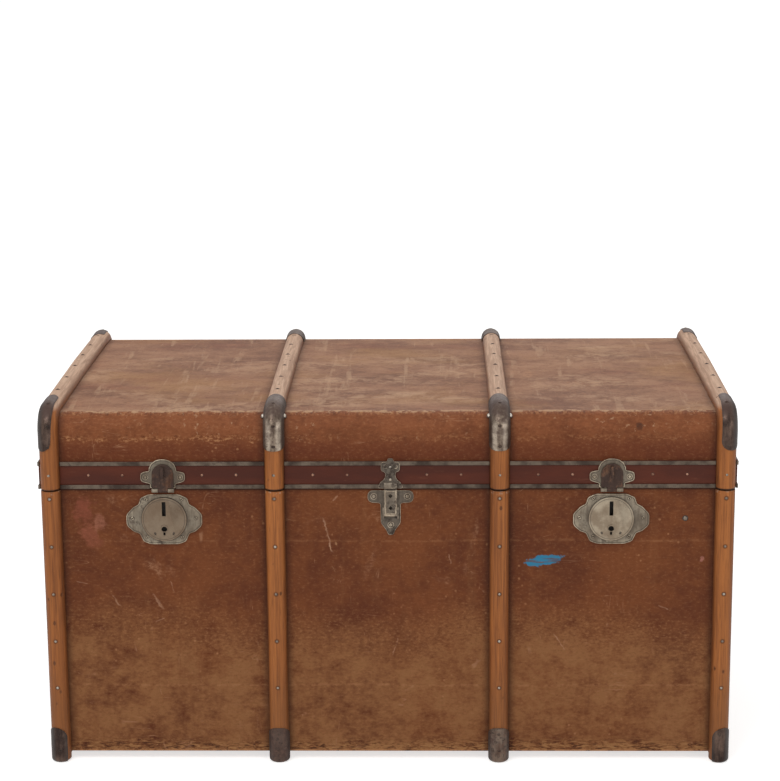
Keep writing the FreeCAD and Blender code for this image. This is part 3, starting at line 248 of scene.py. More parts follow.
class Canvas(Finish):
    # painted canvas; each function lays one kind of wear over what is there
    def __init__(self):
        super().__init__("paintedCanvas", canvasLook["roughness"], canvasLook["shine"], canvasLook)
        self.clouds = self.noise(5, 6, 0.62)
        self.blotches = self.noise(21, 5, 0.6, (1, 1, 1, (3, 1, 7)))
        self.mottle = self.noise(64, 6, 0.7, (1, 1, 1.5, (5, 2, 0)))
        self.fine = self.noise(240, 5, 0.72, (0.7, 1, 1.2))
        self.ragged = self.noise(70, 5, 0.72)
        self.sway = self.noise(34, 3, 0.6)
        paint = self.clouds * 0.95 + self.blotches * 0.5 + self.mottle * 0.55
        self.base(paint.above(0.8, 1.22), self.look["dark"], self.look["body"])
        self.findLidZones()

    def findLidZones(self):
        # the lid's top, the bend below it and the crease between them, from places on the lid alone
        edge, top = bend["edge"], trunk["top"]
        inside = abs(self.x).below(trunk["side"] - 0.0012, trunk["side"] - 0.0004)
        waver = (self.noise(17, 4, 0.6) - 0.5) * 0.009 + (self.noise(88, 5, 0.75) - 0.5) * 0.008
        depth = abs(self.y) + waver
        high = self.z.above(top - 0.007, top - 0.0055) * inside
        self.top = depth.below(edge + 0.0005, edge + 0.0026) * high
        spread = 0.6 + self.noise(24, 3, 0.6, (1, 1, 1, (6, 0, 0))) * 1.4
        offset = abs((depth - edge - 0.0022) * (1 / 0.0042))
        self.crease = offset.math("DIVIDE", spread).below(0.5, 1.0) * high
        self.crack = depth.above(edge + 0.002, edge + 0.005) * depth.below(edge + 0.008, edge + 0.017) * high
        self.bent = self.z.above(top - 0.062, top - 0.018) * inside * (1 - self.top)

    def damp(self):
        # the lower part is bleached by damp, up to an uneven tide line
        look = self.look
        wander = self.noise(3.2, 5, 0.6, (1, 1, 0.4, (9, 0, 0)))
        level = self.z + (wander - 0.5) * 0.22
        self.tide = level.below(look["tideLevel"], look["tideLevel"] + look["tideFade"])
        self.lay(self.tide * (self.blotches * 2.4 + self.mottle * 2.2 - 1.62).within(0.0, 1.0), "tide")
        fringe = self.tide * (1 - self.tide) * 4
        self.lay(fringe * self.fine.above(0.48, 0.66) * 0.5, "tide")
        self.lay(fringe * self.fine.below(0.34, 0.5) * 0.5, "dark")
        # faint level lines where the cloth was creased
        for height, strength in ((0.116, 0.34), (0.336, 0.2)):
            line = (self.z - height + (self.clouds - 0.5) * 0.01).near(0.0, 0.0024)
            self.lay(line * self.mottle.above(0.4, 0.6) * strength, "speck")
        # rain has run down the front in faint drips
        drips = self.noise(1, 4, 0.6, (46, 1, 3.2, (0, 0, 5)), 0.3)
        self.lay(drips.above(0.56, 0.74) * 0.16, "tide")
        self.lay(drips.below(0.30, 0.44) * 0.2, "dark")

    def topColor(self):
        # faded and cloudy, with golden, red and rubbed pale places; the paleness is partly dust and fading
        # and partly a painted sheen of the light from above
        look = self.look
        patches = self.noise(9, 5, 0.6, (0.7, 1.3, 1, (0, 4, 0)), 0.3)
        grains = self.noise(52, 5, 0.7, (0.8, 0.9, 1, (2, 0, 0)))
        gold = self.noise(4.2, 4, 0.6, (0.7, 1.2, 1, (8, 3, 0))).above(0.48, 0.64)
        rubbed = self.noise(7, 5, 0.64, (0.6, 1.5, 1, (1, 9, 0)), 0.3)
        strokes = self.noise(1, 4, 0.6, (60, 5, 1, (7, 0, 0)), 0.4)
        color = self.mix((patches * 0.75 + grains * 0.5).above(0.46, 0.78), look["topDeep"], look["top"])
        for mask, tint in ((gold * 0.45, "topGold"),
                           (rubbed.above(0.48, 0.68) * grains.above(0.38, 0.6) * 0.8, "topPale"),
                           (rubbed.below(0.34, 0.46) * 0.34, "topRed"),
                           (strokes.above(0.56, 0.68) * self.blotches.above(0.38, 0.56) * 0.5, "topPale")):
            color = self.mix(mask, color, look[tint])
        return color

    def lid(self):
        look = self.look
        wall = self.z.above(trunk["bandTop"], trunk["bandTop"] + 0.004)
        wall = wall * self.z.below(look["wallTop"], look["wallTop"] + look["wallFade"])
        self.lay(wall * (0.25 + self.blotches * 0.5), "lidWall")
        # the bend, lighter: partly scuffs, partly a painted highlight where the curve turns up to the light
        self.lay(self.bent * (self.mottle * 1.3 + self.blotches * 0.8 - 0.45).within(0, 0.95), "bend")
        # the top, paler: partly dust and fading, partly painted sheen
        self.lay(self.top * 0.96, self.topColor())

    def wornThrough(self):
        # worn along the crease with ragged edges, cracked below it, and frayed along a fold
        hanging = self.noise(1, 4, 0.7, (190, 70, 60), 0.8)
        self.lay(self.crack * hanging.above(0.53, 0.62) * 0.62, "fray")
        self.lay(self.crack * hanging.below(0.38, 0.46) * 0.5, "dirt")
        self.lay(self.crease * self.ragged.above(0.45, 0.54) * 0.8, "worn")
        fold = self.z - self.look["fold"] + (self.mottle - 0.5) * 0.03 + (self.fine - 0.5) * 0.018
        fold = fold.near(0.0, 0.0042) * (0.35 + self.x.below(-0.2, -0.14) * 0.65)
        fold = fold * self.noise(28, 3, 0.6).above(0.4, 0.56)
        self.lay(fold * self.fine.above(0.46, 0.58) * 0.8, "fray")
        self.lay(fold * self.fine.below(0.36, 0.46) * 0.5, "dirt")
        chips = self.noise(120, 4, 0.7).above(0.6, 0.66) * self.noise(15, 3).above(0.46, 0.6)
        self.lay(chips * self.bent * 0.6, "worn")

    def frayedFoot(self):
        low = trunk["foot"]
        foot = (self.z + (self.blotches - 0.5) * 0.022).below(low + 0.005, low + 0.024)
        threads = self.noise(1, 5, 0.7, (70, 70, 300), 0.8)
        self.lay(foot * threads.above(0.5, 0.58) * 0.85, "thread")
        self.lay(foot * threads.below(0.41, 0.48) * 0.85, "dirt")
        self.lay(self.z.below(low + 0.0022, low + 0.0036) * self.mottle.above(0.4, 0.52) * 0.8, "fray")

    def scuffs(self):
        # light and dark grains at the scale of the cloth, then flecks
        self.lay(self.fine.above(0.5, 0.72) * 0.34, "speck")
        self.lay(self.fine.below(0.3, 0.48) * 0.42, "dark")
        self.lay(self.cells(66).below(0.06, 0.16) * self.noise(8, 3).above(0.5, 0.64) * 0.6, "speck")
        # a fine scratch is where a stretched pattern crosses a level
        tint = self.mix(self.top, self.look["scratch"], self.look["topPale"])
        for across, deep, along, seed, width, rare, strength in canvasHairs:
            lines = self.noise(1, 2, 0.5, (across, deep, along, (seed, seed, 0)), 0.6)
            patches = self.noise(17, 3, 0.6, (1, 1, 1, (seed, 0, seed))).above(rare, rare + 0.07)
            self.lay(abs(lines - 0.5).below(width * 0.2, width) * patches * strength, tint)
        smudges = self.noise(13, 4, 0.6, (1, 1, 0.7, (4, 4, 4)), 0.4).above(0.64, 0.76)
        self.lay(smudges * self.fine.above(0.36, 0.6) * 0.6, "scratch")

    def scratch(self, startX, startZ, endX, endZ, half, strength):
        # how near a place on the front is to one scratch, broken up along its run
        runX, runZ = endX - startX, endZ - startZ
        length = math.hypot(runX, runZ)
        wander = (self.ragged - 0.5) * half * 9 + (self.sway - 0.5) * 0.012
        across = self.x - startX + wander
        rise = self.z - startZ
        along = (across * (runX / length) + rise * (runZ / length)) * (1 / length)
        off = abs(across * (runZ / length) - rise * (runX / length))
        line = off.below(half * 0.2, half * 1.3) * abs(along - 0.5).below(0.36, 0.5)
        return line * (self.ragged * 4 - 1.4).within(0, 1) * strength

    def marks(self):
        onFront = self.y.below(trunk["front"] + 0.002, trunk["front"] + 0.003)
        for x, z, radius, color in canvasMarks:
            across = self.x - x + (self.mottle - 0.5) * radius * 2.6
            upright = (self.z - z + (self.blotches - 0.5) * radius * 2) * 0.7
            distance = apart(across, upright) + (self.ragged - 0.5) * radius * 1.6
            spot = distance.below(radius * 0.35, radius * 0.95) * onFront
            self.lay(spot * (self.fine * 1.3 + self.mottle - 0.55).within(0.1, 0.9), linear(*color))
        for values in canvasScratches:
            self.lay(self.scratch(*values) * onFront, "pale")

    def smear(self):
        # one stroke of blue paint on the front, ragged at its ends
        look = smearLook
        across = self.x - look["x"]
        rise = self.z - look["z"] - across * look["slant"]
        distance = apart(across * (1 / look["halfLength"]), rise * (1 / look["halfHeight"]))
        distance = distance + (self.noise(95, 4, 0.65) - 0.5) * 1.3
        mask = distance.below(0.72, 0.9) * self.y.below(trunk["front"] + 0.002, trunk["front"] + 0.004)
        dry = self.noise(1, 3, 0.6, (30, 30, 420)).above(0.36, 0.52)
        self.lay(mask * (0.25 + dry * 0.68), look["color"])

    def grime(self):
        # darker beside the slats, partly dirt and partly painted shadow; a painted shadow in the joint under
        # the band; darker round the locks
        # dirt and painted shadow along both sides of each slat
        reach = slatHalf + self.look["dirtReach"]
        dirt = self.slatSide().below(reach * 0.4, reach) * (0.4 + self.blotches * 0.5)
        self.lay(dirt * (1 - self.top * 0.3), "dirt")
        # painted shadow: a dark line just under the band, where the lid meets the body
        self.lay(self.z.near(trunk["parting"], 0.0045) * 0.85, "dirt")
        away = (abs(self.x) - fitting["lockX"]) * (1 / 0.062)
        rise = (self.z - fitting["lockZ"]) * (1 / 0.05)
        self.lay(apart(away, rise).below(0.7, 1.15) * 0.35 * self.y.below(0, 0.1), "dark")

    def relief(self):
        weave, weft = (self.add("ShaderNodeTexWave", {"wave_type": "BANDS", "bands_direction": way},
                                Vector=self.place, Scale=260.0, Distortion=1.2) for way in ("X", "Z"))
        crackle = self.cells(150, feature="DISTANCE_TO_EDGE").below(0.02, 0.12)
        return weave * 0.2 + weft * 0.2 + self.fine * 0.7 + self.mottle * 0.9 - crackle * 0.4


def canvasFinish():
    canvas = Canvas()
    for layer in (canvas.damp, canvas.lid, canvas.wornThrough, canvas.frayedFoot, canvas.scuffs,
                  canvas.marks, canvas.smear, canvas.grime):
        layer()
    rough = canvasLook["roughness"] - 0.1 + canvas.clouds * 0.16 + canvas.tide * 0.08 + canvas.top * 0.08
    return canvas.finish(rough, canvas.relief(), canvasLook["grain"])


slatLook = tints(
    wood=(186, 114, 58), deep=(132, 76, 38), dry=(226, 190, 162), dusty=(190, 154, 130), dent=(76, 42, 24),
    gap=(30, 16, 9), foot=(128, 82, 46),
) | {"roughness": 0.5, "shine": 0.3, "nailFirst": 0.403, "nailPitch": 0.0715, "topNailPitch": 0.078,
     "topNailFirst": 0.128, "nailStain": 0.0046}


def slatFinish():
    look = slatLook
    finish = Finish("oiledSlatWood", look["roughness"], look["shine"], look)
    grain = finish.noise(1, 6, 0.66, (420, 40, 11, (0, 0, 3)), 0.4)
    bands = finish.noise(1, 4, 0.5, (70, 9, 3.4))
    finish.base((grain * 0.85 + bands * 0.55).above(0.48, 0.9), look["deep"], look["wood"])
    pores = finish.noise(1, 3, 0.6, (900, 90, 26)).below(0.3, 0.42)
    finish.lay(pores * 0.5, "dent")
    # on top of the lid the oil has gone and the wood is dry and pale; part of that paleness is a painted
    # sheen of the light from above
    dry = finish.z.above(trunk["top"] + 0.001, trunk["top"] + 0.009)
    topGrain = finish.noise(1, 6, 0.66, (300, 14, 60, (4, 0, 0)), 0.4)
    finish.lay(dry * 0.94, finish.mix(topGrain.above(0.36, 0.66), look["dusty"], look["dry"]))
    knocks = finish.cells(64, (1, 1, 0.6)).below(0.08, 0.17) * finish.noise(17, 3).above(0.5, 0.56)
    finish.lay(knocks * 0.75, "dent")
    # dark rings that the nails have left on the walls and on the top
    side = finish.slatSide()
    for run, first, pitch, mask in (
            (finish.z, look["nailFirst"], look["nailPitch"], finish.z.below(0.41, 0.414)),
            (finish.y, look["topNailFirst"], look["topNailPitch"], dry)):
        turns = (first - run) * (1 / pitch) + 0.5
        along = (turns.math("FRACT") - 0.5) * pitch
        ring = apart(side, along).below(look["nailStain"] * 0.55, look["nailStain"])
        finish.lay(ring * mask * 0.7, "dent")
    # painted shade on the edges beside the canvas, chipped ends, a painted shadow in the joint at the
    # parting, and the damp foot
    finish.lay(side.above(slatHalf - 0.0035, slatHalf - 0.0004) * 0.55, "dent")
    chips = finish.cells(240).below(0.2, 0.45) * finish.z.near(trunk["parting"] - 0.003, 0.0042)
    finish.lay(chips * 0.55, "dusty")
    # painted shadow: near-black ends where the lid's slats meet the body's
    ends = finish.z.near(trunk["parting"], 0.0026)
    finish.lay(ends.atLeast(finish.z.near(trunk["parting"], 0.006) * pores * 0.6) * 0.9, "gap")
    finish.lay(finish.z.below(0.06, 0.17) * 0.5, "foot")
    # the left slat is the darkest
    finish.lay(finish.x.below(-0.42, -0.30) * (1 - dry) * 0.22, "deep")
    height = grain * 0.5 - knocks * 1.4 - pores * 0.3
    return finish.finish(0.44 + grain * 0.16 + dry * 0.2, height, 0.0006)


def metalLook(bright, dull, rust, grime, rustFrom, roughness, colors=None, **more):
    # drawn is how far the metal shows drawn lines, flank where on a clip its dark sides, grime and painted
    # shade, begin and end
    look = tints(bright=bright, dull=dull, rust=rust, grime=grime, **(colors or {}))
    return look | {"rustFrom": rustFrom, "roughness": roughness, "drawn": 0.35} | more


metalLooks = {
    "nickel": metalLook((176, 163, 142), (116, 102, 86), (72, 52, 40), (42, 29, 20), 0.58, 0.34),
    "clasp": metalLook((176, 161, 141), (122, 107, 91), (62, 45, 35), (38, 26, 19), 0.55, 0.36),
    "lock": metalLook((156, 143, 124), (122, 107, 90), (84, 62, 46), (30, 20, 14), 0.62, 0.30, drawn=0.1),
    "hasp": metalLook((116, 86, 68), (68, 47, 37), (48, 30, 23), (34, 21, 16), 0.47, 0.42),
    "saddle": metalLook((146, 130, 114), (72, 58, 49), (68, 42, 31), (42, 26, 19), 0.53, 0.26,
                        {"highlight": (184, 170, 154), "crust": (104, 76, 62)}, flank=(0.0095, 0.0138)),
    "corner": metalLook((98, 80, 70), (50, 39, 35), (72, 46, 36), (32, 22, 19), 0.57, 0.28,
                        flank=(0.0045, 0.0120)),
    "strip": metalLook((104, 92, 80), (60, 50, 44), (60, 42, 34), (34, 24, 20), 0.58, 0.42, drawn=0.08),
    "iron": metalLook((98, 84, 74), (58, 47, 41), (82, 52, 38), (34, 24, 20), 0.52, 0.42),
    "nail": metalLook((176, 166, 152), (100, 88, 78), (66, 46, 36), (36, 23, 17), 0.58, 0.30),
    "stud": metalLook((214, 206, 194), (160, 148, 134), (96, 74, 60), (60, 44, 36), 0.66, 0.22),
    "darkNail": metalLook((96, 74, 60), (58, 42, 34), (50, 34, 27), (36, 23, 17), 0.5, 0.4),
    "bandNail": metalLook((168, 128, 106), (104, 72, 58), (70, 44, 34), (44, 24, 18), 0.62, 0.4),
}


class Metal(Finish):
    def __init__(self, name):
        look = metalLooks[name]
        super().__init__("metal_" + name, look["roughness"], look=look)
        self.clouds = self.noise(38, 5, 0.6)
        self.pits = self.noise(260, 5, 0.7)
        brushed = self.noise(1, 3, 0.6, (240, 240, 40))
        shade = (self.clouds * (1.05 - look["drawn"]) + brushed * look["drawn"]).above(0.38, 0.68)
        self.base(shade, look["dull"], look["bright"])
        # grime: an attribute on fittings made here, and places that a hand can't polish; it also carries the
        # painted shade in the lock drums' slots and on the clips' flanks
        attribute = {"attribute_type": "GEOMETRY", "attribute_name": "grime"}
        self.grime = self.add("ShaderNodeAttribute", attribute, "Fac")
        rust = self.clouds * 0.3 + self.noise(75, 5, 0.7) * 0.45 + self.pits * 0.25
        self.rust = rust.above(look["rustFrom"] - 0.05, look["rustFrom"] + 0.06)
        self.relief = self.pits * 0.8 + self.rust * 0.4
        self.crusts = ()

    def lock(self):
        front = trunk["front"]
        radius = apart(abs(self.x) - fitting["lockX"], self.z - fitting["lockZ"])
        # painted shade inside the drum's slot; grime round the drum's edge and along a ring near its rim
        inside = self.y.above(front - 0.0038, front - 0.0031) * radius.below(0.0285, 0.0295)
        edge = radius.above(0.0318, 0.0330)
        line = radius.near(0.0299, 0.0005)
        self.grime = self.grime.atLeast(inside).atLeast(edge * 0.8).atLeast(line * 0.7)
        # the left drum is the browner of the two
        self.lay(self.x.below(-0.01, 0.01) * (0.35 + self.clouds * 0.4), "rust")

    def clasp(self):
        # the lever's face is dull between its beads
        lever = abs(self.x - fitting["claspX"]).below(0.0056, 0.0064)
        lever = lever * self.y.above(-0.28165, -0.28145) * self.y.below(-0.2800, -0.2790)
        self.grime = self.grime.atLeast(lever * 0.55)

    def wrapped(self):
        # a clip: flanks darkened, partly grime and partly painted shade, pitted and dark over the bend
        flank = self.slatSide().above(*self.look["flank"])
        self.grime = self.grime.atLeast(flank * (0.4 + self.clouds * 0.7))
        pitted = self.noise(150, 5, 0.75, twist=0.5).above(0.34, 0.56)
        over = self.z.above(trunk["top"] - 0.010, trunk["top"] + 0.004)
        self.rust = self.rust.atLeast(over * (0.55 + pitted * 0.4))

    def saddle(self):
        # dull and crusted at the foot, most of all on the left
        low = self.z.below(0.07, 0.1)
        crust = self.noise(170, 5, 0.75, twist=0.4)
        leftLow = low * self.x.below(-0.01, 0.01)
        self.rust = self.rust.atLeast(low * (0.2 + self.clouds * 0.4)).atLeast(leftLow)
        # painted highlight along both sides of the front, dull in the middle
        highlightBand = self.z.above(0.464, 0.474) * self.z.below(0.508, 0.522)
        highlightBand = highlightBand * self.slatSide().near(0.0078, 0.0052)
        self.lay(highlightBand * self.clouds.above(0.25, 0.75) * 0.75, "highlight")
        self.rust = self.rust * (1 - highlightBand * 0.6)
        self.relief = self.relief + low * crust * 5
        self.crusts = ((low * crust.above(0.50, 0.60) * 0.45, "crust"),
                       (low * crust.below(0.36, 0.46) * 0.8, "grime"))


def metalFinish(name):
    metal = Metal(name)
    if name == "lock":
        metal.lock()
    if name == "clasp":
        metal.clasp()
    if "flank" in metal.look:
        metal.wrapped()
    if name == "saddle":
        metal.saddle()
    metal.lay(metal.rust * 0.85, "rust")
    for mask, tint in metal.crusts:
        metal.lay(mask, tint)
    # grime, with the painted shade that it carries, laid over the colour
    grime = (metal.grime * (0.75 + metal.clouds * 0.5)).atMost(1.0)
    metal.lay(grime * 0.92, "grime")
    rough = metal.look["roughness"] + metal.rust * 0.3 + (metal.pits - 0.5) * 0.2 + grime * 0.3
    metallic = (0.9 - metal.rust * 0.7 - grime * 0.9).atLeast(0.0)
    return metal.finish(rough, metal.relief, 0.00022, metallic)


def bandFinish():
    finish = Finish("vulcanisedFibre", 0.5, 0.22)
    clouds = finish.noise(12, 5, 0.6, (0.4, 1, 2))
    finish.base(clouds.above(0.35, 0.66), linear(74, 32, 20), linear(94, 44, 28))
    finish.lay(finish.noise(1, 4, 0.6, (26, 26, 90)).above(0.62, 0.74) * 0.3, linear(134, 84, 62))
    return finish.finish(0.42 + clouds * 0.2, finish.noise(180, 4), 0.0002)


def plainFinish(name, light, dark, scale, roughness, where=None):
    # boards, leather and thread share one recipe: a mottled colour over a fine relief
    finish = Finish(name, roughness)
    pattern = finish.noise(scale, 5, 0.6, where)
    finish.base(pattern.above(0.34, 0.66), linear(*dark), linear(*light))
    return finish.finish(roughness - 0.06 + pattern * 0.12, pattern, 0.0004)


def liningFinish():
    # plain cotton cloth, yellowed in places
    finish = Finish("cottonLining", 0.85)
    stains = finish.noise(4, 5, 0.6)
    warp, weft = (finish.noise(1, 3, 0.6, where) * 0.5 for where in ((700, 700, 60), (60, 60, 700)))
    slubs = warp + weft
    finish.base(stains.above(0.36, 0.68) * 0.6, linear(214, 200, 172), linear(190, 168, 132))
    finish.lay(slubs.below(0.4, 0.56) * 0.35, linear(166, 144, 112))
    return finish.finish(0.8 + stains * 0.1, slubs, 0.0003)


finishes = {
    "canvas": canvasFinish(), "slat": slatFinish(), "band": bandFinish(), "lining": liningFinish(),
    "board": plainFinish("bareBoard", (190, 154, 112), (164, 126, 86), 8, 0.7, (1, 9, 9)),
    "grip": plainFinish("brownLeather", (112, 66, 40), (66, 37, 24), 44, 0.48),
    "thread": plainFinish("waxedThread", (196, 164, 120), (160, 128, 90), 300, 0.7),
} | {name: metalFinish(name) for name in metalLooks}
print("finishes made:", len(finishes))

wornBy = {
    "canvas": ["body_canvas", "lid_canvas"],
    "lining": ["body_lining", "lid_lining"],
    "slat": [name for name in nodes if "slat" in name or "runner" in name],
    "band": ["rim_band"],
    "strip": ["rim_strips"],
    "nickel": ["lock_plates", "hasp_plates"],
    "clasp": ["clasp_base", "clasp_lever", "catch_plate"],
    "lock": ["lock_cases"],
    "hasp": ["left_hasp", "right_hasp"],
    "saddle": ["middle_lid_clips", "middle_foot_clips"],
    "corner": ["corner_lid_clips", "corner_foot_clips"],
    "nail": ["body_nails", "lid_nails", "lock_screws"],
    "grip": ["left_handle_grip", "right_handle_grip"],
    "board": [name for name in nodes if "board" in name] + ["closing_lip", "lid_left_end", "lid_right_end"],
}
wornBy["iron"] = sorted(set(nodes) - set(sum(wornBy.values(), [])))
for finishName, names in wornBy.items():
    for name in names:
        nodes[name].data.materials.clear()
        nodes[name].data.materials.append(finishes[finishName])
print("nodes dressed:", len(nodes))


def placed(name, data):
    # an object at the origin, in the scene
    piece = bpy.data.objects.new(name, data)
    scene.collection.objects.link(piece)
    return piece


def settle(piece, body, stands=()):
    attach(piece, body)
    if stands:
        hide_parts(*stands)
    return piece


def addPiece(name, mesh, finishName, body, stands=()):
    piece = placed(name, mesh)
    mesh.materials.clear()
    mesh.materials.append(finishes[finishName])
    return settle(piece, body, stands)


def applied(piece):
    # the evaluated mesh in place of the modifiers
    depsgraph = bpy.context.evaluated_depsgraph_get()
    mesh = bpy.data.meshes.new_from_object(piece.evaluated_get(depsgraph))
    piece.modifiers.clear()
    piece.data = mesh
    return piece


def meshFrom(name, shape):
    mesh = bpy.data.meshes.new(name)
    shape.to_mesh(mesh)
    shape.free()
    return mesh


def smoothed(mesh, angle):
    mesh.polygons.foreach_set("use_smooth", [True] * len(mesh.polygons))
    mesh.set_sharp_from_angle(angle=math.radians(angle))
    return mesh


def mergedCopy(name):
    shape = bmesh.new()
    shape.from_mesh(nodes[name].data)
    bmesh.ops.remove_doubles(shape, verts=shape.verts, dist=0.00002)
    return shape


def bevelled(piece, width, angle=28):
    bevel = piece.modifiers.new("edges", "BEVEL")
    bevel.width = width
    bevel.segments = 2
    bevel.limit_method = "ANGLE"
    bevel.angle_limit = math.radians(angle)
    bevel.use_clamp_overlap = True
    applied(piece)
    smoothed(piece.data, 40)
    return piece


# pieces that stand for CAD nodes, the same shape with soft edges: node, body, finish, slot and
# edge radius
softened = [
    ("lock_cases", "trunk", "lock", "nickel", 0.0003),
    ("clasp_lever", "clasp_lever", "clasp", "nickel", 0.0003),
    ("left_hasp", "left_hasp", "hasp", "nickel", 0.0004),
    ("right_hasp", "right_hasp", "hasp", "nickel", 0.0004),
    ("rim_strips", "lid", "strip", "strip", 0.0005),
    ("rim_band", "lid", "band", "band", 0.0008),
    ("body_hinge_leaves", "trunk", "iron", "iron", 0.0004),
    ("lid_hinge_leaves", "lid", "iron", "iron", 0.0004),
    ("left_handle_brackets", "trunk", "iron", "iron", 0.0005),
    ("right_handle_brackets", "trunk", "iron", "iron", 0.0005),
]
for body, beginnings in (("trunk", ("front_slat", "back_slat", "bottom_runner")), ("lid", ("lid_slat",))):
    softened += [(name, body, "slat", "slat", 0.0012)
                 for name in sorted(nodes) if name.startswith(beginnings)]


def makeSoftened():
    for name, body, finishName, slot, edge in softened:
        shape = mergedCopy(name)
        bmesh.ops.dissolve_limit(shape, angle_limit=math.radians(0.6), verts=shape.verts, edges=shape.edges)
        mesh = meshFrom(name + "_worn", shape)
        bevelled(addPiece(name + "_worn", mesh, finishName, body, [name]), edge)
    print("softened pieces:", len(softened))


# meshes made ring by ring
def circle(count):
    angles = [2 * math.pi * step / count for step in range(count)]
    return [(math.cos(angle), math.sin(angle)) for angle in angles]


def grimeLayer(shape):
    return shape.verts.layers.float.get("grime") or shape.verts.layers.float.new("grime")


def ring(shape, spots):
    # one ring of vertices, each with its place and how grimy it is
    grime = grimeLayer(shape)
    made = []
    for *place, tone in spots:
        vert = shape.verts.new(place)
        vert[grime] = tone
        made.append(vert)
    return made


def skin(shape, rings, flip=False, capped=True):
    # faces from each ring to the next, and over both ends
    for first, second in zip(rings, rings[1:]):
        for index in range(len(first)):
            after = (index + 1) % len(first)
            corners = (first[index], first[after], second[after], second[index])
            shape.faces.new(corners[:1] + corners[:0:-1] if flip else corners)
    if capped:
        shape.faces.new(rings[0])
        shape.faces.new(list(reversed(rings[-1])))


# stamped fittings: an outline with round corners, a raised rim and a grimy field inside it
rim = {"shoulder": 0.0003, "width": 0.0008, "slope": 0.0004, "rise": 0.0005, "shade": 0.0012, "corner": 7,
       "spacing": 0.0007, "step": 0.0002, "easing": 0.3}


def roundedOutline(corners):
    # corners are (x, z, radius) in millimetres, anticlockwise
    points = []
    places = [Vector((x, z)) / 1000 for x, z, _ in corners]
    for index, place in enumerate(places):
        before = places[index - 1] - place
        after = places[(index + 1) % len(places)] - place
        half = before.angle(after) / 2
        radius = corners[index][2] / 1000
        reach = min(radius / math.tan(half), before.length * 0.49, after.length * 0.49)
        start = place + before.normalized() * reach
        end = place + after.normalized() * reach
        for step in range(rim["corner"]):
            share = step / (rim["corner"] - 1)
            points.append(start * (1 - share) ** 2 + place * 2 * share * (1 - share) + end * share ** 2)
    return points


def evenly(points):
    # the same closed outline with its points at even distances
    ends = points[1:] + points[:1]
    lengths = [(end - start).length for start, end in zip(points, ends)]
    count = round(sum(lengths) / rim["spacing"])
    spacing = sum(lengths) / count
    made = []
    passed = 0.0
    for start, end, length in zip(points, ends, lengths):
        while len(made) < count and len(made) * spacing <= passed + length:
            made.append(start.lerp(end, (len(made) * spacing - passed) / length if length else 0))
        passed += length
    return made


def inwards(points, distance):
    # small eased steps, so that a tight corner doesn't fold over itself
    ease = rim["easing"]
    steps = max(1, round(distance / rim["step"]))
    count = len(points)
    for _ in range(steps):
        moved = []
        for index, point in enumerate(points):
            along = (points[(index + 1) % count] - points[index - 1]).normalized()
            moved.append(point + Vector((-along.y, along.x)) * distance / steps)
        points = [moved[i] * (1 - ease) + (moved[i - 1] + moved[(i + 1) % count]) * ease / 2
                  for i in range(count)]
    return points


def bothSides(half):
    # the right half of an outline, from its lowest corner up, and its mirror image
    return half + [(-x, z, radius) for x, z, radius in reversed(half) if x > 0]


def stampedPlate(shape, corners, middle, back, thick, hole=0.0, fine=1.0, field=0.3):
    # the sheet's back is at y = back and its face looks along -Y; hole is the radius of a round hole,
    # fine narrows the rim and field is how grimy the middle is
    points = evenly(roundedOutline(corners))
    face = back - thick
    raised = face - rim["rise"]
    levels = [(points, back, 0.0), (points, face - rim["rise"] / 2, 0.0)]
    for distance, level, dark in ((rim["shoulder"], raised, 0.0), (rim["width"], raised, 0.0),
                                  (rim["slope"], face, 1.0), (rim["shade"], face, field)):
        points = inwards(points, distance * fine)
        levels.append((points, level, dark))
    if hole:
        inner = [point.normalized() * hole for point in points]
        levels += [(inner, face, 0.6), (inner, back, 1.0)]
    rings = [ring(shape, [(middle[0] + point.x, level, middle[1] + point.y, dark) for point in outline])
             for outline, level, dark in levels]
    skin(shape, rings + (rings[:1] if hole else []), capped=not hole)


def ringBead(shape, middle, y, radius, wire, turns=40):
    # a round bead that lies on a face and looks along -Y, dark where it meets the face
    rings = []
    for across, up in circle(turns):
        spots = []
        for cosine, sine in circle(8):
            reach = radius + wire * cosine
            tone = 1.0 if abs(cosine) > 0.9 or sine < -0.2 else 0.0
            spots.append((middle[0] + reach * across, y - wire * sine, middle[1] + reach * up, tone))
        rings.append(ring(shape, spots))
    skin(shape, rings + rings[:1], flip=True, capped=False)


def boss(shape, middle, y, radius, height, dark=0.0):
    # a low dome on a face, with a dark foot
    levels = ((1.0, 0.0, 1.0), (0.97, 0.35, 0.5), (0.8, 0.8, dark), (0.5, 0.97, dark))
    skin(shape, [ring(shape, [(middle[0] + radius * share * across, y - height * lift,
                               middle[1] + radius * share * up, tone) for across, up in circle(20)])
                 for share, lift, tone in levels])


def rib(shape, start, end, radius):
    # a half-round bead with round ends between two places on a face that looks along -Y
    start, end = Vector(start), Vector(end)
    along = (end - start).normalized()
    side = along.cross(Vector((0, -1, 0))).normalized()
    rings = []
    for place, way, angles in ((start, -1, (90, 60, 30, 0)), (end, 1, (0, 30, 60, 90))):
        for tilt in map(math.radians, angles):
            middle = place + along * radius * math.sin(tilt) * way
            reach = radius * max(0.08, math.cos(tilt))
            spots = []
            for turn in range(9):
                angle = math.radians(22.5 * turn)
                point = middle + side * reach * math.cos(angle) - Vector((0, reach * math.sin(angle), 0))
                spots.append((*point, 0.9 if turn in (0, 8) else 0.0))
            rings.append(ring(shape, spots))
    skin(shape, rings, flip=True)


def bar(shape, outline, middle, half):
    # a bar along x with the given (y, z) outline
    ends = (middle - half, middle + half)
    skin(shape, [ring(shape, [(x, y, z, 0.4) for y, z in outline]) for x in ends], flip=True)


def fromShape(name, shape, finishName, body, stands=()):
    bmesh.ops.recalc_face_normals(shape, faces=shape.faces)
    return addPiece(name, smoothed(meshFrom(name, shape), 42), finishName, body, stands)


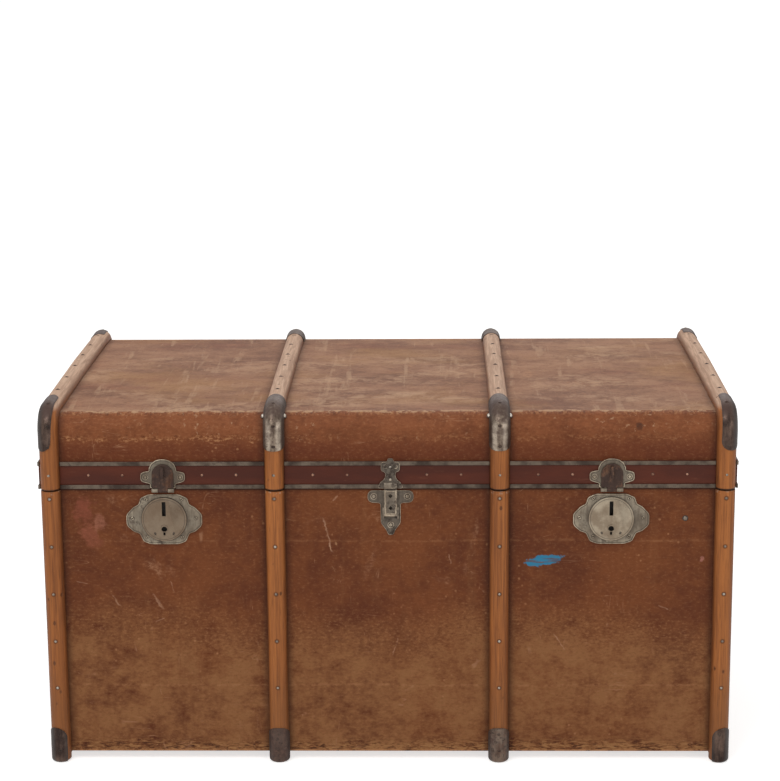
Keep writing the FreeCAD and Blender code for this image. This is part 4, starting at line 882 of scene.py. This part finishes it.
lockOutline = bothSides([
    (20, -37.4, 20), (30.5, -33.5, 6), (36, -21.5, 4), (44.5, -18.5, 6), (54.5, -9.5, 10), (54.5, 7, 10),
    (44.5, 17.5, 6), (36.5, 22, 4), (33.5, 31.5, 6), (22, 36.8, 14),
])
haspOutline = bothSides([
    (18.5, 1.4, 2), (17.5, 7.5, 3), (23.5, 9, 4), (31.9, 11.5, 6.5), (31.9, 24, 6.5), (23.5, 26, 3),
    (19.6, 26.2, 2.5), (19.4, 31, 4), (16.4, 37.4, 6), (10.4, 42, 6), (3.5, 43.8, 6),
])
catchOutline = bothSides([
    (18.6, 0.6, 2.5), (15, 9, 10), (7.6, 15, 12), (7.2, 24, 4), (13.6, 26.5, 6), (13.4, 39.4, 6),
    (5, 40, 2.5), (3.4, 44.8, 3),
])
claspOutline = bothSides([
    (3.6, -70, 3.5), (6.4, -63, 4), (14.2, -52, 8), (14.6, -22.5, 3), (33, -21.5, 8.8), (33, -3.6, 8.8),
])
lockPlaces = [side * fitting["lockX"] for side in (-1, 1)]
# the lid's plates lie on the band, and the body's on the canvas
bandFace = trunk["front"] - 0.0045
bodyFace = trunk["front"]


def rivet(shape, spot, face, bead, wire, radius, height, dark):
    # a domed head inside a raised ring
    ringBead(shape, spot, face - 0.0001, bead, wire, 28)
    boss(shape, spot, face, radius, height, dark)


def makeLocks():
    shape = bmesh.new()
    for x in lockPlaces:
        stampedPlate(shape, lockOutline, (x, fitting["lockZ"]), bodyFace, 0.0015, 0.0285)
    fromShape("lock_plates_stamped", shape, "nickel", "trunk", ["lock_plates"])
    # a ring round each keyhole and a small boss on both sides of it
    shape = bmesh.new()
    disc = bodyFace - 0.004
    for x in lockPlaces:
        ringBead(shape, (x, fitting["lockZ"] - 0.0135), disc, 0.0049, 0.0006)
        for step in (-1, 1):
            boss(shape, (x + step * 0.0135, fitting["lockZ"] - 0.0205), disc, 0.0017, 0.0006, 0.7)
    fromShape("lock_beads", shape, "lock", "trunk")


# an outer knuckle of a hasp's hinge, with the tongue that holds it to the plate
knuckle = {"y": -0.28115, "drop": 0.002, "radius": 0.003, "half": 0.00435, "thick": 0.0012,
           "tongueLow": 0.0006, "tongueHigh": 0.0054}


def barrel(shape, middle):
    z = trunk["parting"] - knuckle["drop"]
    low, high = z + knuckle["tongueLow"], z + knuckle["tongueHigh"]
    outer = bandFace - knuckle["thick"]
    outline = [(knuckle["y"] + knuckle["radius"] * across, z + knuckle["radius"] * up)
               for across, up in circle(24)]
    bar(shape, outline, middle, knuckle["half"])
    bar(shape, [(bandFace, low), (outer, low), (outer, high), (bandFace, high)], middle, knuckle["half"])


def makeHaspPlates():
    shape = bmesh.new()
    for x in lockPlaces:
        stampedPlate(shape, haspOutline, (x, trunk["parting"]), bandFace, 0.0008, field=0.55)
        for step in (-1, 1):
            spot = (x + step * 0.025, trunk["parting"] + 0.0175)
            rivet(shape, spot, bandFace - 0.0008, 0.0037, 0.0006, 0.0024, 0.0011, 0.3)
            barrel(shape, x + step * 0.01165)
    fromShape("hasp_plates_stamped", shape, "nickel", "lid", ["hasp_plates"])


# the rolled lip over the lever's top: how far it stands out and how high above the parting
lipProfile = [(0, 0.0002), (0.0018, 0.0002), (0.0025, 0.0012), (0.0026, 0.0060), (0.0020, 0.0082),
              (0.0008, 0.0092), (0, 0.0094)]


def makeCatchPlate():
    shape = bmesh.new()
    x, parting = fitting["claspX"], trunk["parting"]
    face = bandFace - 0.0008
    stampedPlate(shape, catchOutline, (x, parting), bandFace, 0.0008, fine=0.55, field=0.75)
    for step in (-1, 1):
        ringBead(shape, (x + step * 0.0072, parting + 0.0325), face - 0.0001, 0.0027, 0.0006, 24)
    boss(shape, (x, parting + 0.0135), face, 0.0026, 0.0014)
    bar(shape, [(face - out, parting + up) for out, up in lipProfile], x, 0.0092)
    fromShape("catch_plate_stamped", shape, "clasp", "lid", ["catch_plate"])


# the ears that hold the lever's pin: how far they stand out and how high they reach
cheekProfile = [(0, 0.3695), (0.0035, 0.3695), (0.0056, 0.3715), (0.006, 0.3745), (0.0056, 0.384),
                (0.003, 0.3874), (0, 0.388)]


def makeClaspBase():
    shape = bmesh.new()
    x = fitting["claspX"]
    face = bodyFace - 0.0012
    stampedPlate(shape, claspOutline, (x, trunk["parting"]), bodyFace, 0.0012, fine=0.7, field=0.7)
    rivet(shape, (x, 0.360), face, 0.0042, 0.0007, 0.0027, 0.0012, 0.2)
    boss(shape, (x, 0.3505), face, 0.0014, 0.0006, 0.6)
    for step in (-1, 1):
        rivet(shape, (x + step * 0.024, 0.4025), face, 0.0044, 0.0006, 0.0028, 0.0012, 0.2)
        bar(shape, [(face - out, z) for out, z in cheekProfile], x + step * 0.0106, 0.00098)
    fromShape("clasp_base_stamped", shape, "clasp", "trunk", ["clasp_base"])


def makeLeverRibs():
    shape = bmesh.new()
    x, face = fitting["claspX"], fitting["leverFace"]
    for step in (-1, 1):
        rib(shape, (x + step * 0.0074, face, 0.378), (x + step * 0.0074, face, 0.4115), 0.0011)
    for level in (0.3780, 0.4112):
        rib(shape, (x - 0.0066, face, level), (x + 0.0066, face, level), 0.0007)
    fromShape("lever_ribs", shape, "clasp", "clasp_lever")


# beads on each hasp: an arch with legs, and two upright beads with an arm to the side
haspBeads = {"arch": 0.0126, "centre": 0.0222, "leg": 0.004, "upright": 0.0040, "low": 0.005, "high": 0.030,
             "arm": 0.0110, "armLevel": 0.010, "wire": 0.0014, "armWire": 0.0013}


def makeHaspBeads(name, x):
    # they stand only a little proud, because the closed hasp lies close on the lock's disc
    shape = bmesh.new()
    look = haspBeads
    face, parting = fitting["haspFace"], trunk["parting"]
    centre = parting + look["centre"]
    arch = [(x + look["arch"] * math.cos(angle), face, centre + look["arch"] * math.sin(angle))
            for angle in map(math.radians, range(0, 181, 10))]
    arch = [(x + look["arch"], face, parting + look["leg"])] + arch
    arch.append((x - look["arch"], face, parting + look["leg"]))
    for start, end in zip(arch, arch[1:]):
        rib(shape, start, end, look["wire"])
    for step in (-1, 1):
        near, far = x + step * look["upright"], x + step * look["arm"]
        rib(shape, (near, face, parting + look["low"]), (near, face, parting + look["high"]), look["wire"])
        level = parting + look["armLevel"]
        rib(shape, (near, face, level), (far, face, level), look["armWire"])
    fromShape(name + "_rim", shape, "hasp", name)


def makeFittings():
    makeLocks()
    makeHaspPlates()
    makeCatchPlate()
    makeClaspBase()
    makeLeverRibs()
    for name, x in zip(("left_hasp", "right_hasp"), lockPlaces):
        makeHaspBeads(name, x)
    print("stamped fittings made")


# sheet clips that wrap the slats: saddles over the bend and boots at the foot; leg is how far a clip
# reaches below the middle of its round, down the slat's side
clip = {
    "sheet": 0.0011, "proud": 0.0012, "tongue": 0.009, "cornerTongue": 0.013, "drop": 0.026, "run": 0.034,
    "bootHeight": 0.055, "toe": 0.005, "bootTongue": 0.020, "soleInset": 0.006, "dent": 0.00014, "leg": 0.001,
    "columns": 26, "rows": 44,
}


def bendPoint(travel):
    # place and outward direction on the lid's canvas, from the wall over the bend and along the top
    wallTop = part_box("lid_canvas")[0].z + bend["wall"]
    quarter = bend["radius"] * math.pi / 2
    front = trunk["front"]
    if travel <= clip["drop"]:
        return Vector((0, front, wallTop - clip["drop"] + travel)), Vector((0, -1, 0))
    travel -= clip["drop"]
    centre = Vector((0, front + bend["radius"], wallTop))
    if travel <= quarter:
        angle = travel / bend["radius"]
        outward = Vector((0, -math.cos(angle), math.sin(angle)))
        return centre + outward * bend["radius"], outward
    return centre + Vector((0, travel - quarter, bend["radius"])), Vector((0, 0, 1))


def section(low, high):
    # angles round the slat, 0 at its crown, with a short leg at each end that reaches the side
    columns = clip["columns"]
    angles = [math.radians(low + (high - low) * step / columns) for step in range(columns + 1)]
    radius = slatHalf + clip["proud"]
    points = [(radius * math.sin(a), bend["side"] + radius * math.cos(a), a) for a in angles]
    if high >= 90:
        points.append((radius, bend["side"] - clip["leg"], math.radians(90)))
    if low <= -90:
        points.insert(0, (-radius, bend["side"] - clip["leg"], math.radians(-90)))
    return points


def dented(point):
    return point + noise.noise_vector(point * 90) * clip["dent"]


def onSlat(point, place, toBack):
    # a point on the slat at place, on the front or mirrored to the back
    if toBack:
        point.y = -point.y
    return point + Vector((place, 0, 0))


def saddleRows(place, wall, crown, toBack, tongue=clip["tongue"]):
    # wall and crown are the lowest and highest angle round the slat on the wall and on the top
    bendEnd = clip["drop"] + bend["radius"] * math.pi / 2
    length = bendEnd + clip["run"]
    radius = slatHalf + clip["proud"]
    columns = clip["columns"]
    rows = []
    for step in range(clip["rows"] + 1):
        row = []
        for column in range(-1, columns + 2):
            across = min(max(column / columns, 0), 1)
            share = min(0.995, abs(2 * across - 1))
            cutBack = tongue * (1 - math.sqrt(1 - share * share))
            travel = cutBack + (length - 2 * cutBack) * step / clip["rows"]
            blend = min(1, travel / bendEnd)
            low, high = (wall[end] + (crown[end] - wall[end]) * blend for end in (0, 1))
            angle = math.radians(low + (high - low) * across)
            side, out = radius * math.sin(angle), bend["side"] + radius * math.cos(angle)
            if column in (-1, columns + 1):
                if abs(math.degrees(angle)) < 89:
                    continue
                out = bend["side"] - clip["leg"]
            base, outward = bendPoint(travel)
            row.append(onSlat(dented(base + outward * out + Vector((side, 0, 0))), place, toBack))
        rows.append(row)
    return rows


def bootRows(place, low, high, toBack):
    # straight levels from the top down, then the toe's round, then the sole
    outline = section(low, high)
    middle = math.radians((low + high) / 2)
    reach = math.radians((high - low) / 2) + 0.05
    toe = clip["toe"]
    radius = slatHalf + clip["proud"]
    levels = [(height, None) for height in (1.0, 0.85, 0.7, 0.55, 0.4, 0.28)]
    levels += [(None, math.radians(90) * step / 6) for step in range(7)]
    rows = []
    for height, corner in levels:
        row = []
        for across, out, angle in outline:
            share = min(1, abs(angle - middle) / reach)
            cutBack = clip["bootTongue"] * (1 - math.sqrt(1 - share * share))
            if corner is None:
                z = toe + (clip["bootHeight"] - cutBack - toe) * height
                shrink = 1.0
            else:
                z = toe * (1 - math.sin(corner))
                shrink = 1 - toe * (1 - math.cos(corner)) / radius
            point = dented(Vector((across * shrink, 0, z)))
            point.y = trunk["front"] - out * shrink
            point.z = max(z, 0.0)
            row.append(onSlat(point, place, toBack))
        rows.append(row)
    last = rows[-1]
    centre = Vector((place, (trunk["front"] - clip["soleInset"]) * (-1 if toBack else 1), 0.0))
    for share in (0.6, 0.2):
        rows.append([Vector((*(centre + (point - centre) * share).xy, 0.0)) for point in last])
    return rows


def sheetMesh(name, rows):
    shape = bmesh.new()
    grid = [[shape.verts.new(point) for point in row] for row in rows]
    for first, second in zip(grid, grid[1:]):
        for index in range(len(first) - 1):
            shape.faces.new((first[index], first[index + 1], second[index + 1], second[index]))
    bmesh.ops.recalc_face_normals(shape, faces=shape.faces)
    return meshFrom(name, shape)


def makeClip(name, rowsOf, places, finishName, body, stands):
    # a sheet over each slat of places, on the front and on the back, with thickness inwards
    shape = bmesh.new()
    for place, *reach in places:
        for toBack in (False, True):
            mesh = sheetMesh(name, rowsOf(place, *reach[:2], toBack, *reach[2:]))
            shape.from_mesh(mesh)
            bpy.data.meshes.remove(mesh)
    piece = addPiece(name, meshFrom(name, shape), finishName, body, [stands])
    solid = piece.modifiers.new("thickness", "SOLIDIFY")
    solid.thickness = clip["sheet"]
    solid.offset = -1
    bevelled(piece, 0.0003, 40)


def makeClips():
    # slat and angles round it; the corner pieces wrap the outer side of the outer slats
    whole, tongue = (-90, 90), clip["cornerTongue"]
    inner, left, right = slatPlaces[1:3], slatPlaces[0], slatPlaces[3]
    makeClip("lid_saddles", saddleRows, [(x, whole, whole) for x in inner],
             "saddle", "lid", "middle_lid_clips")
    makeClip("lid_corner_irons", saddleRows,
             [(left, (-90, 14), (-90, 34), tongue), (right, (-36, 90), (-30, 90), tongue)],
             "corner", "lid", "corner_lid_clips")
    makeClip("middle_boots", bootRows, [(x, *whole) for x in inner], "saddle", "trunk", "middle_foot_clips")
    makeClip("corner_boots", bootRows, [(left, -90, 45), (right, -45, 90)],
             "corner", "trunk", "corner_foot_clips")
    print("clips made")


# nails and screws, set by Geometry Nodes on the spots where the frame has them
headSizes = {
    "nail": {"radius": 0.0019, "skirt": 0.0025, "lift": 0.00022, "dome": 0.0011, "slot": 0.0, "rings": 5,
             "sides": 14},
    "screw": {"radius": 0.0027, "skirt": 0.0034, "lift": 0.00022, "dome": 0.0010, "slot": 0.0006, "rings": 6,
              "sides": 20, "floor": 0.0004},
}


def headMesh(kind):
    # a dome with its underside at the origin, a dark skirt round it and, on a screw, a slot across it
    size = headSizes[kind]
    lift, sides = size["lift"], size["sides"]
    profile = [(size["skirt"], 0.0, 1.0), (size["skirt"] * 0.97, 0.00018, 1.0), (size["radius"], lift, 0.9)]
    for step in range(1, size["rings"] + 1):
        angle = math.radians(90) * step / (size["rings"] + 1)
        profile.append((size["radius"] * math.cos(angle), lift + size["dome"] * math.sin(angle), 0.0))
    shape = bmesh.new()
    rings = [ring(shape, [(radius * across, radius * up, height, dark) for across, up in circle(sides)])
             for radius, height, dark in profile]
    skin(shape, rings, capped=False)
    crown = shape.verts.new((0, 0, lift + size["dome"]))
    for side in range(sides):
        shape.faces.new((rings[-1][side], rings[-1][(side + 1) % sides], crown))
    shape.faces.new(list(reversed(rings[0])))
    if size["slot"]:
        grime = grimeLayer(shape)
        for vert in shape.verts:
            if abs(vert.co.x) < size["slot"] and vert.co.z > 0.0003:
                vert.co.z = size["floor"]
                vert[grime] = 1.0
    return smoothed(meshFrom(kind + "Head", shape), 48)


def outwardAt(place):
    # the direction that faces away from the trunk at a nail
    wallTop = trunk["top"] - bend["radius"] - bend["crown"]
    if abs(place.x) > trunk["side"] + 0.0005 and abs(place.y) < 0.2:
        return Vector((math.copysign(1, place.x), 0, 0))
    if place.z <= wallTop:
        return Vector((0, math.copysign(1, place.y), 0))
    if abs(place.y) <= bend["edge"]:
        return Vector((0, place.y / bend["crownRadius"], 1)).normalized()
    return Vector((0, place.y - math.copysign(bend["edge"], place.y), place.z - wallTop)).normalized()


def nailSpots(name, dome):
    # the underside of each head in a node of loose nails, and the way it faces
    shape = mergedCopy(name)
    seen = set()
    spots = []
    for start in shape.verts:
        if start in seen:
            continue
        seen.add(start)
        stack = [start]
        island = []
        while stack:
            vert = stack.pop()
            island.append(vert.co.copy())
            for edge in vert.link_edges:
                other = edge.other_vert(vert)
                if other not in seen:
                    seen.add(other)
                    stack.append(other)
        middle = sum(island, Vector()) / len(island)
        facing = outwardAt(middle)
        reach = max((place - middle).dot(facing) for place in island)
        spots.append((middle + facing * (reach - dome), facing))
    shape.free()
    return sorted(spots, key=lambda spot: tuple(round(value, 4) for value in spot[0]))


class Tree:
    # a Geometry Nodes tree with named inputs; its nodes are added by one call each
    def __init__(self, name, inputs):
        self.group = bpy.data.node_groups.new(name, "GeometryNodeTree")
        self.sockets = {label: self.socket(label, kind, "INPUT") for label, kind in inputs.items()}
        self.socket("Result", "Geometry", "OUTPUT")
        self.inlet = self.add("NodeGroupInput").outputs

    def socket(self, label, kind, way):
        return self.group.interface.new_socket(label, in_out=way, socket_type="NodeSocket" + kind)

    def add(self, kind, settings=None, values=None):
        node = self.group.nodes.new(kind)
        for key, value in (settings or {}).items():
            setattr(node, key, value)
        for key, value in (values or {}).items():
            if isinstance(value, bpy.types.NodeSocket):
                self.group.links.new(value, node.inputs[key])
            else:
                node.inputs[key].default_value = value
        return node

    def chance(self, kind, values):
        return self.add("FunctionNodeRandomValue", {"data_type": kind}, values | {"Seed": self.inlet["Seed"]})

    def finish(self, source, finishName):
        # real geometry in one material
        real = self.add("GeometryNodeRealizeInstances", values={"Geometry": source.outputs[0]})
        paint = self.add("GeometryNodeSetMaterial",
                         values={"Geometry": real.outputs[0], "Material": finishes[finishName]})
        self.add("NodeGroupOutput", values={"Result": paint.outputs[0]})

    def applyTo(self, piece, values):
        modifier = piece.modifiers.new("nodes", "NODES")
        modifier.node_group = self.group
        for label, value in values.items():
            modifier[self.sockets[label].identifier] = value
        return applied(piece)


def scatterTree(name, finishName):
    tree = Tree(name, {"Spots": "Geometry", "Head": "Object", "Size": "Float", "Size spread": "Float",
                       "Lean": "Float", "Seed": "Int"})
    inlet = tree.inlet
    head = tree.add("GeometryNodeObjectInfo", values={"Object": inlet["Head"]})
    facing = tree.add("GeometryNodeInputNamedAttribute", {"data_type": "FLOAT_VECTOR"}, {"Name": "facing"})
    seed = tree.chance("FLOAT_VECTOR", {0: (-1, -1, -1), 1: (1, 1, 1)})
    lean = tree.add("ShaderNodeVectorMath", {"operation": "SCALE"},
                    {0: seed.outputs[0], "Scale": inlet["Lean"]})
    aim = tree.add("ShaderNodeVectorMath", {"operation": "ADD"}, {0: facing.outputs[0], 1: lean.outputs[0]})
    align = tree.add("FunctionNodeAlignRotationToVector", {"axis": "Z"}, {"Vector": aim.outputs[0]})
    turn = tree.chance("FLOAT", {2: 0.0, 3: math.pi})
    spin = tree.add("FunctionNodeAxisAngleToRotation", values={"Axis": (0, 0, 1), "Angle": turn.outputs[1]})
    whole = tree.add("FunctionNodeRotateRotation", {"rotation_space": "LOCAL"},
                     {"Rotation": align.outputs[0], "Rotate By": spin.outputs[0]})
    spread = tree.chance("FLOAT", {2: -1.0, 3: 1.0})
    size = tree.add("ShaderNodeMath", {"operation": "MULTIPLY_ADD"},
                    {0: spread.outputs[1], 1: inlet["Size spread"], 2: inlet["Size"]})
    heads = tree.add("GeometryNodeInstanceOnPoints", values={
        "Points": inlet["Spots"], "Instance": head.outputs["Geometry"], "Rotation": whole.outputs[0],
        "Scale": size.outputs[0]})
    tree.finish(heads, finishName)
    return tree


def scatterHeads(name, kind, spots, finishName, body, stands=(), seed=1, size=1.0, lean=0.06):
    points = bpy.data.meshes.new(name)
    points.from_pydata([place for place, _ in spots], [], [])
    points.attributes.new("facing", "FLOAT_VECTOR", "POINT").data.foreach_set(
        "vector", [value for _, facing in spots for value in facing])
    piece = placed(name, points)
    head = placed(kind + "Head", headMesh(kind))
    scatterTree(name + "Nodes", finishName).applyTo(
        piece, {"Head": head, "Size": size, "Size spread": 0.06, "Lean": lean, "Seed": seed})
    bpy.data.objects.remove(head)
    settle(piece, body, stands)


def setScrews(name, spots, finishName, body, seed, stands=(), size=0.85):
    scatterHeads(name, "screw", spots, finishName, body, stands, seed, size, 0.03)


def rest(spots, *taken):
    return [spot for spot in spots if not any(spot in kind for kind in taken)]


# two bright studs beside each saddle, just below the crease: angle round the bend, distance from the slat's
# side, how far out they stand and how much they turn to the side
studLook = {"angle": 50, "gap": 0.0014, "out": 0.0034, "turn": 0.7, "size": 1.5}


def creaseStuds():
    crease = math.radians(studLook["angle"])
    facing = Vector((0, -math.cos(crease), math.sin(crease)))
    wallTop = trunk["top"] - bend["radius"] - bend["crown"]
    centre = Vector((0, trunk["front"] + bend["radius"], wallTop))
    out = centre + facing * (bend["radius"] + studLook["out"])
    spots = [(out + Vector((place + step * (slatHalf + studLook["gap"]), 0, 0)),
              facing + Vector((step * studLook["turn"], 0, 0)))
             for place in slatPlaces[1:3] for step in (-1, 1)]
    scatterHeads("crease_studs", "nail", spots, "stud", "lid", seed=12, size=studLook["size"])


def bodyFasteners():
    spots = nailSpots("body_nails", 0.0014)
    inBoots = [spot for spot in spots if spot[0].z < clip["bootHeight"] and abs(spot[0].y) > -trunk["front"]]
    setScrews("boot_screws", inBoots, "iron", "trunk", 9)
    scatterHeads("body_nail_heads", "nail", rest(spots, inBoots), "nail", "trunk", ["body_nails"], 3)


def lidFasteners():
    spots = nailSpots("lid_nails", 0.0014)
    rivets = [spot for spot in spots if abs(abs(spot[0].x) - fitting["lockX"]) < 0.03 and spot[0].z < 0.45
              and spot[0].y < 0]
    onBand = [spot for spot in rest(spots, rivets) if spot[0].z < trunk["bandTop"]
              and min(abs(spot[0].x - place) for place in slatPlaces) > slatHalf
              and abs(spot[0].x - fitting["claspX"]) > 0.03]
    onTop = [spot for spot in spots if spot[0].z > trunk["top"] and abs(spot[0].y) < 0.21]
    onClips = [spot for spot in rest(spots, onTop) if spot[0].z > trunk["bandTop"] + 0.002]
    onCorners = [spot for spot in onClips if abs(spot[0].x) > slatPlaces[3] - slatHalf]
    creaseStuds()
    others = rest(spots, rivets, onBand, onTop, onClips)
    scatterHeads("lid_nail_heads", "nail", others, "nail", "lid", ["lid_nails"], 5)
    scatterHeads("top_nail_heads", "nail", onTop, "darkNail", "lid", seed=6)
    setScrews("corner_screws", onCorners, "iron", "lid", 10)
    setScrews("saddle_screws", rest(onClips, onCorners), "darkNail", "lid", 7)
    scatterHeads("hasp_plate_rivets", "nail", rivets, "nickel", "lid", seed=2)
    scatterHeads("band_nail_heads", "nail", onBand, "bandNail", "lid", seed=8)


def makeFasteners():
    bodyFasteners()
    lidFasteners()
    # one stud on the canvas to the right of the right lock
    stud = [(Vector((0.427, trunk["front"], 0.369)), Vector((0, -1, 0)))]
    scatterHeads("front_stud", "nail", stud, "nail", "trunk", seed=11, size=1.7)
    setScrews("slotted_screws", nailSpots("lock_screws", 0.001), "nickel", "trunk", 4, ["lock_screws"], 0.9)
    print("nails and screws set")


# two rows of stitches along each handle's grip
stitching = {"count": 16, "length": 0.0017, "thickness": 0.0005, "tilt": 34, "spread": 9, "inset": 0.0075}


def stitchTree():
    tree = Tree("gripStitches", {"From": "Vector", "To": "Vector", "Second row": "Vector", "Count": "Int",
                                 "Size": "Vector"})
    inlet = tree.inlet
    line = tree.add("GeometryNodeCurvePrimitiveLine", values={"Start": inlet["From"], "End": inlet["To"]})
    spots = tree.add("GeometryNodeCurveToPoints", {"mode": "COUNT"},
                     {"Curve": line.outputs[0], "Count": inlet["Count"]})
    ball = tree.add("GeometryNodeMeshUVSphere", values={"Segments": 10, "Rings": 6, "Radius": 1.0})
    smooth = tree.add("GeometryNodeSetShadeSmooth", values={"Geometry": ball.outputs[0]})
    row = tree.add("GeometryNodeInstanceOnPoints", values={
        "Points": spots.outputs[0], "Instance": smooth.outputs[0], "Scale": inlet["Size"]})
    moved = tree.add("GeometryNodeTransform",
                     values={"Geometry": row.outputs[0], "Translation": inlet["Second row"]})
    rows = tree.add("GeometryNodeJoinGeometry")
    for source in (row, moved):
        tree.group.links.new(source.outputs[0], rows.inputs[0])
    tree.finish(rows, "thread")
    return tree


def makeStitches():
    tree = stitchTree()
    size = (stitching["thickness"], stitching["length"], stitching["thickness"])
    for handle, sense in (("left_handle", -1), ("right_handle", 1)):
        low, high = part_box(handle + "_grip")
        radius = (high.z - low.z) / 2
        places = []
        for step in (-1, 1):
            angle = math.radians(stitching["tilt"] + step * stitching["spread"])
            places.append(Vector(((low.x + high.x) / 2 + sense * radius * math.cos(angle), 0,
                                  (low.z + high.z) / 2 + radius * math.sin(angle))))
        reach = Vector((0, high.y - stitching["inset"], 0))
        piece = placed(handle + "_stitches", bpy.data.meshes.new(handle + "_stitches"))
        tree.applyTo(piece, {"From": places[0] - reach, "To": places[0] + reach, "Size": size,
                             "Second row": places[1] - places[0], "Count": stitching["count"]})
        settle(piece, handle)
    print("grips stitched")


makeFittings()
makeFasteners()
makeStitches()
makeSoftened()
makeClips()


studio = {"floor": linear(240, 239, 237), "floorHalf": 30.0, "glow": 0.66, "world": 0.46, "lampSize": 1.9}
# name, place, aim and power
lamps = [
    ("keyLamp", (-1.1, -2.2, 3.0), (0, 0, 0.3), 34),
    ("fillLamp", (2.4, -2.6, 1.5), (0, 0, 0.3), 9),
    ("backLamp", (0.5, 2.2, 2.6), (0, 0, 0.4), 15),
]
view = {"place": (0.0706, -3.3157, 1.2634), "turn": (76.9396, 0.4189, 1.1328), "lens": 101.538}


def seenRays(tree):
    # 1 for the camera and for clear reflections and glass
    rays = tree.nodes.new("ShaderNodeLightPath")
    kinds = [Field(tree, rays.outputs[f"Is {kind} Ray"]) for kind in ("Camera", "Glossy", "Transmission")]
    return kinds[0].atLeast(kinds[1]).atLeast(kinds[2])


def floorFinish():
    material = bpy.data.materials.new("paleFloor")
    material.use_nodes = True
    tree = material.node_tree
    shader = tree.nodes["Principled BSDF"]
    for key, value in (("Base Color", (*studio["floor"], 1)), ("Roughness", 0.9), ("Specular IOR Level", 0.0),
                       ("Emission Color", (1, 1, 1, 1))):
        shader.inputs[key].default_value = value
    feed(tree, shader.inputs["Emission Strength"], seenRays(tree) * studio["glow"])
    return material


def makeStage():
    half = studio["floorHalf"]
    mesh = bpy.data.meshes.new("floor")
    corners = [(-half, -half, 0), (half, -half, 0), (half, half, 0), (-half, half, 0)]
    mesh.from_pydata(corners, [], [(0, 1, 2, 3)])
    mesh.materials.append(floorFinish())
    placed("floor", mesh)


def makeLamps():
    for name, place, aim, power in lamps:
        data = bpy.data.lights.new(name, "AREA")
        data.energy = power
        data.shape = "DISK"
        data.size = studio["lampSize"]
        lamp = placed(name, data)
        lamp.location = place
        lamp.rotation_euler = (Vector(aim) - Vector(place)).to_track_quat("-Z", "Y").to_euler()


def makeWorld():
    world = bpy.data.worlds.new("studio")
    world.use_nodes = True
    scene.world = world
    tree = world.node_tree
    background = tree.nodes["Background"]
    background.inputs["Color"].default_value = (1, 1, 1, 1)
    feed(tree, background.inputs["Strength"], studio["world"] + seenRays(tree) * (1 - studio["world"]))


def makeCamera():
    data = bpy.data.cameras.new("camera")
    data.lens = view["lens"]
    data.sensor_width = 36
    data.clip_start = 0.05
    camera = placed("camera", data)
    camera.location = view["place"]
    camera.rotation_euler = Euler([math.radians(angle) for angle in view["turn"]])
    scene.camera = camera


makeStage()
makeWorld()
makeLamps()
makeCamera()
scene.view_settings.view_transform = "Standard"
print("stage, lamps and camera made")
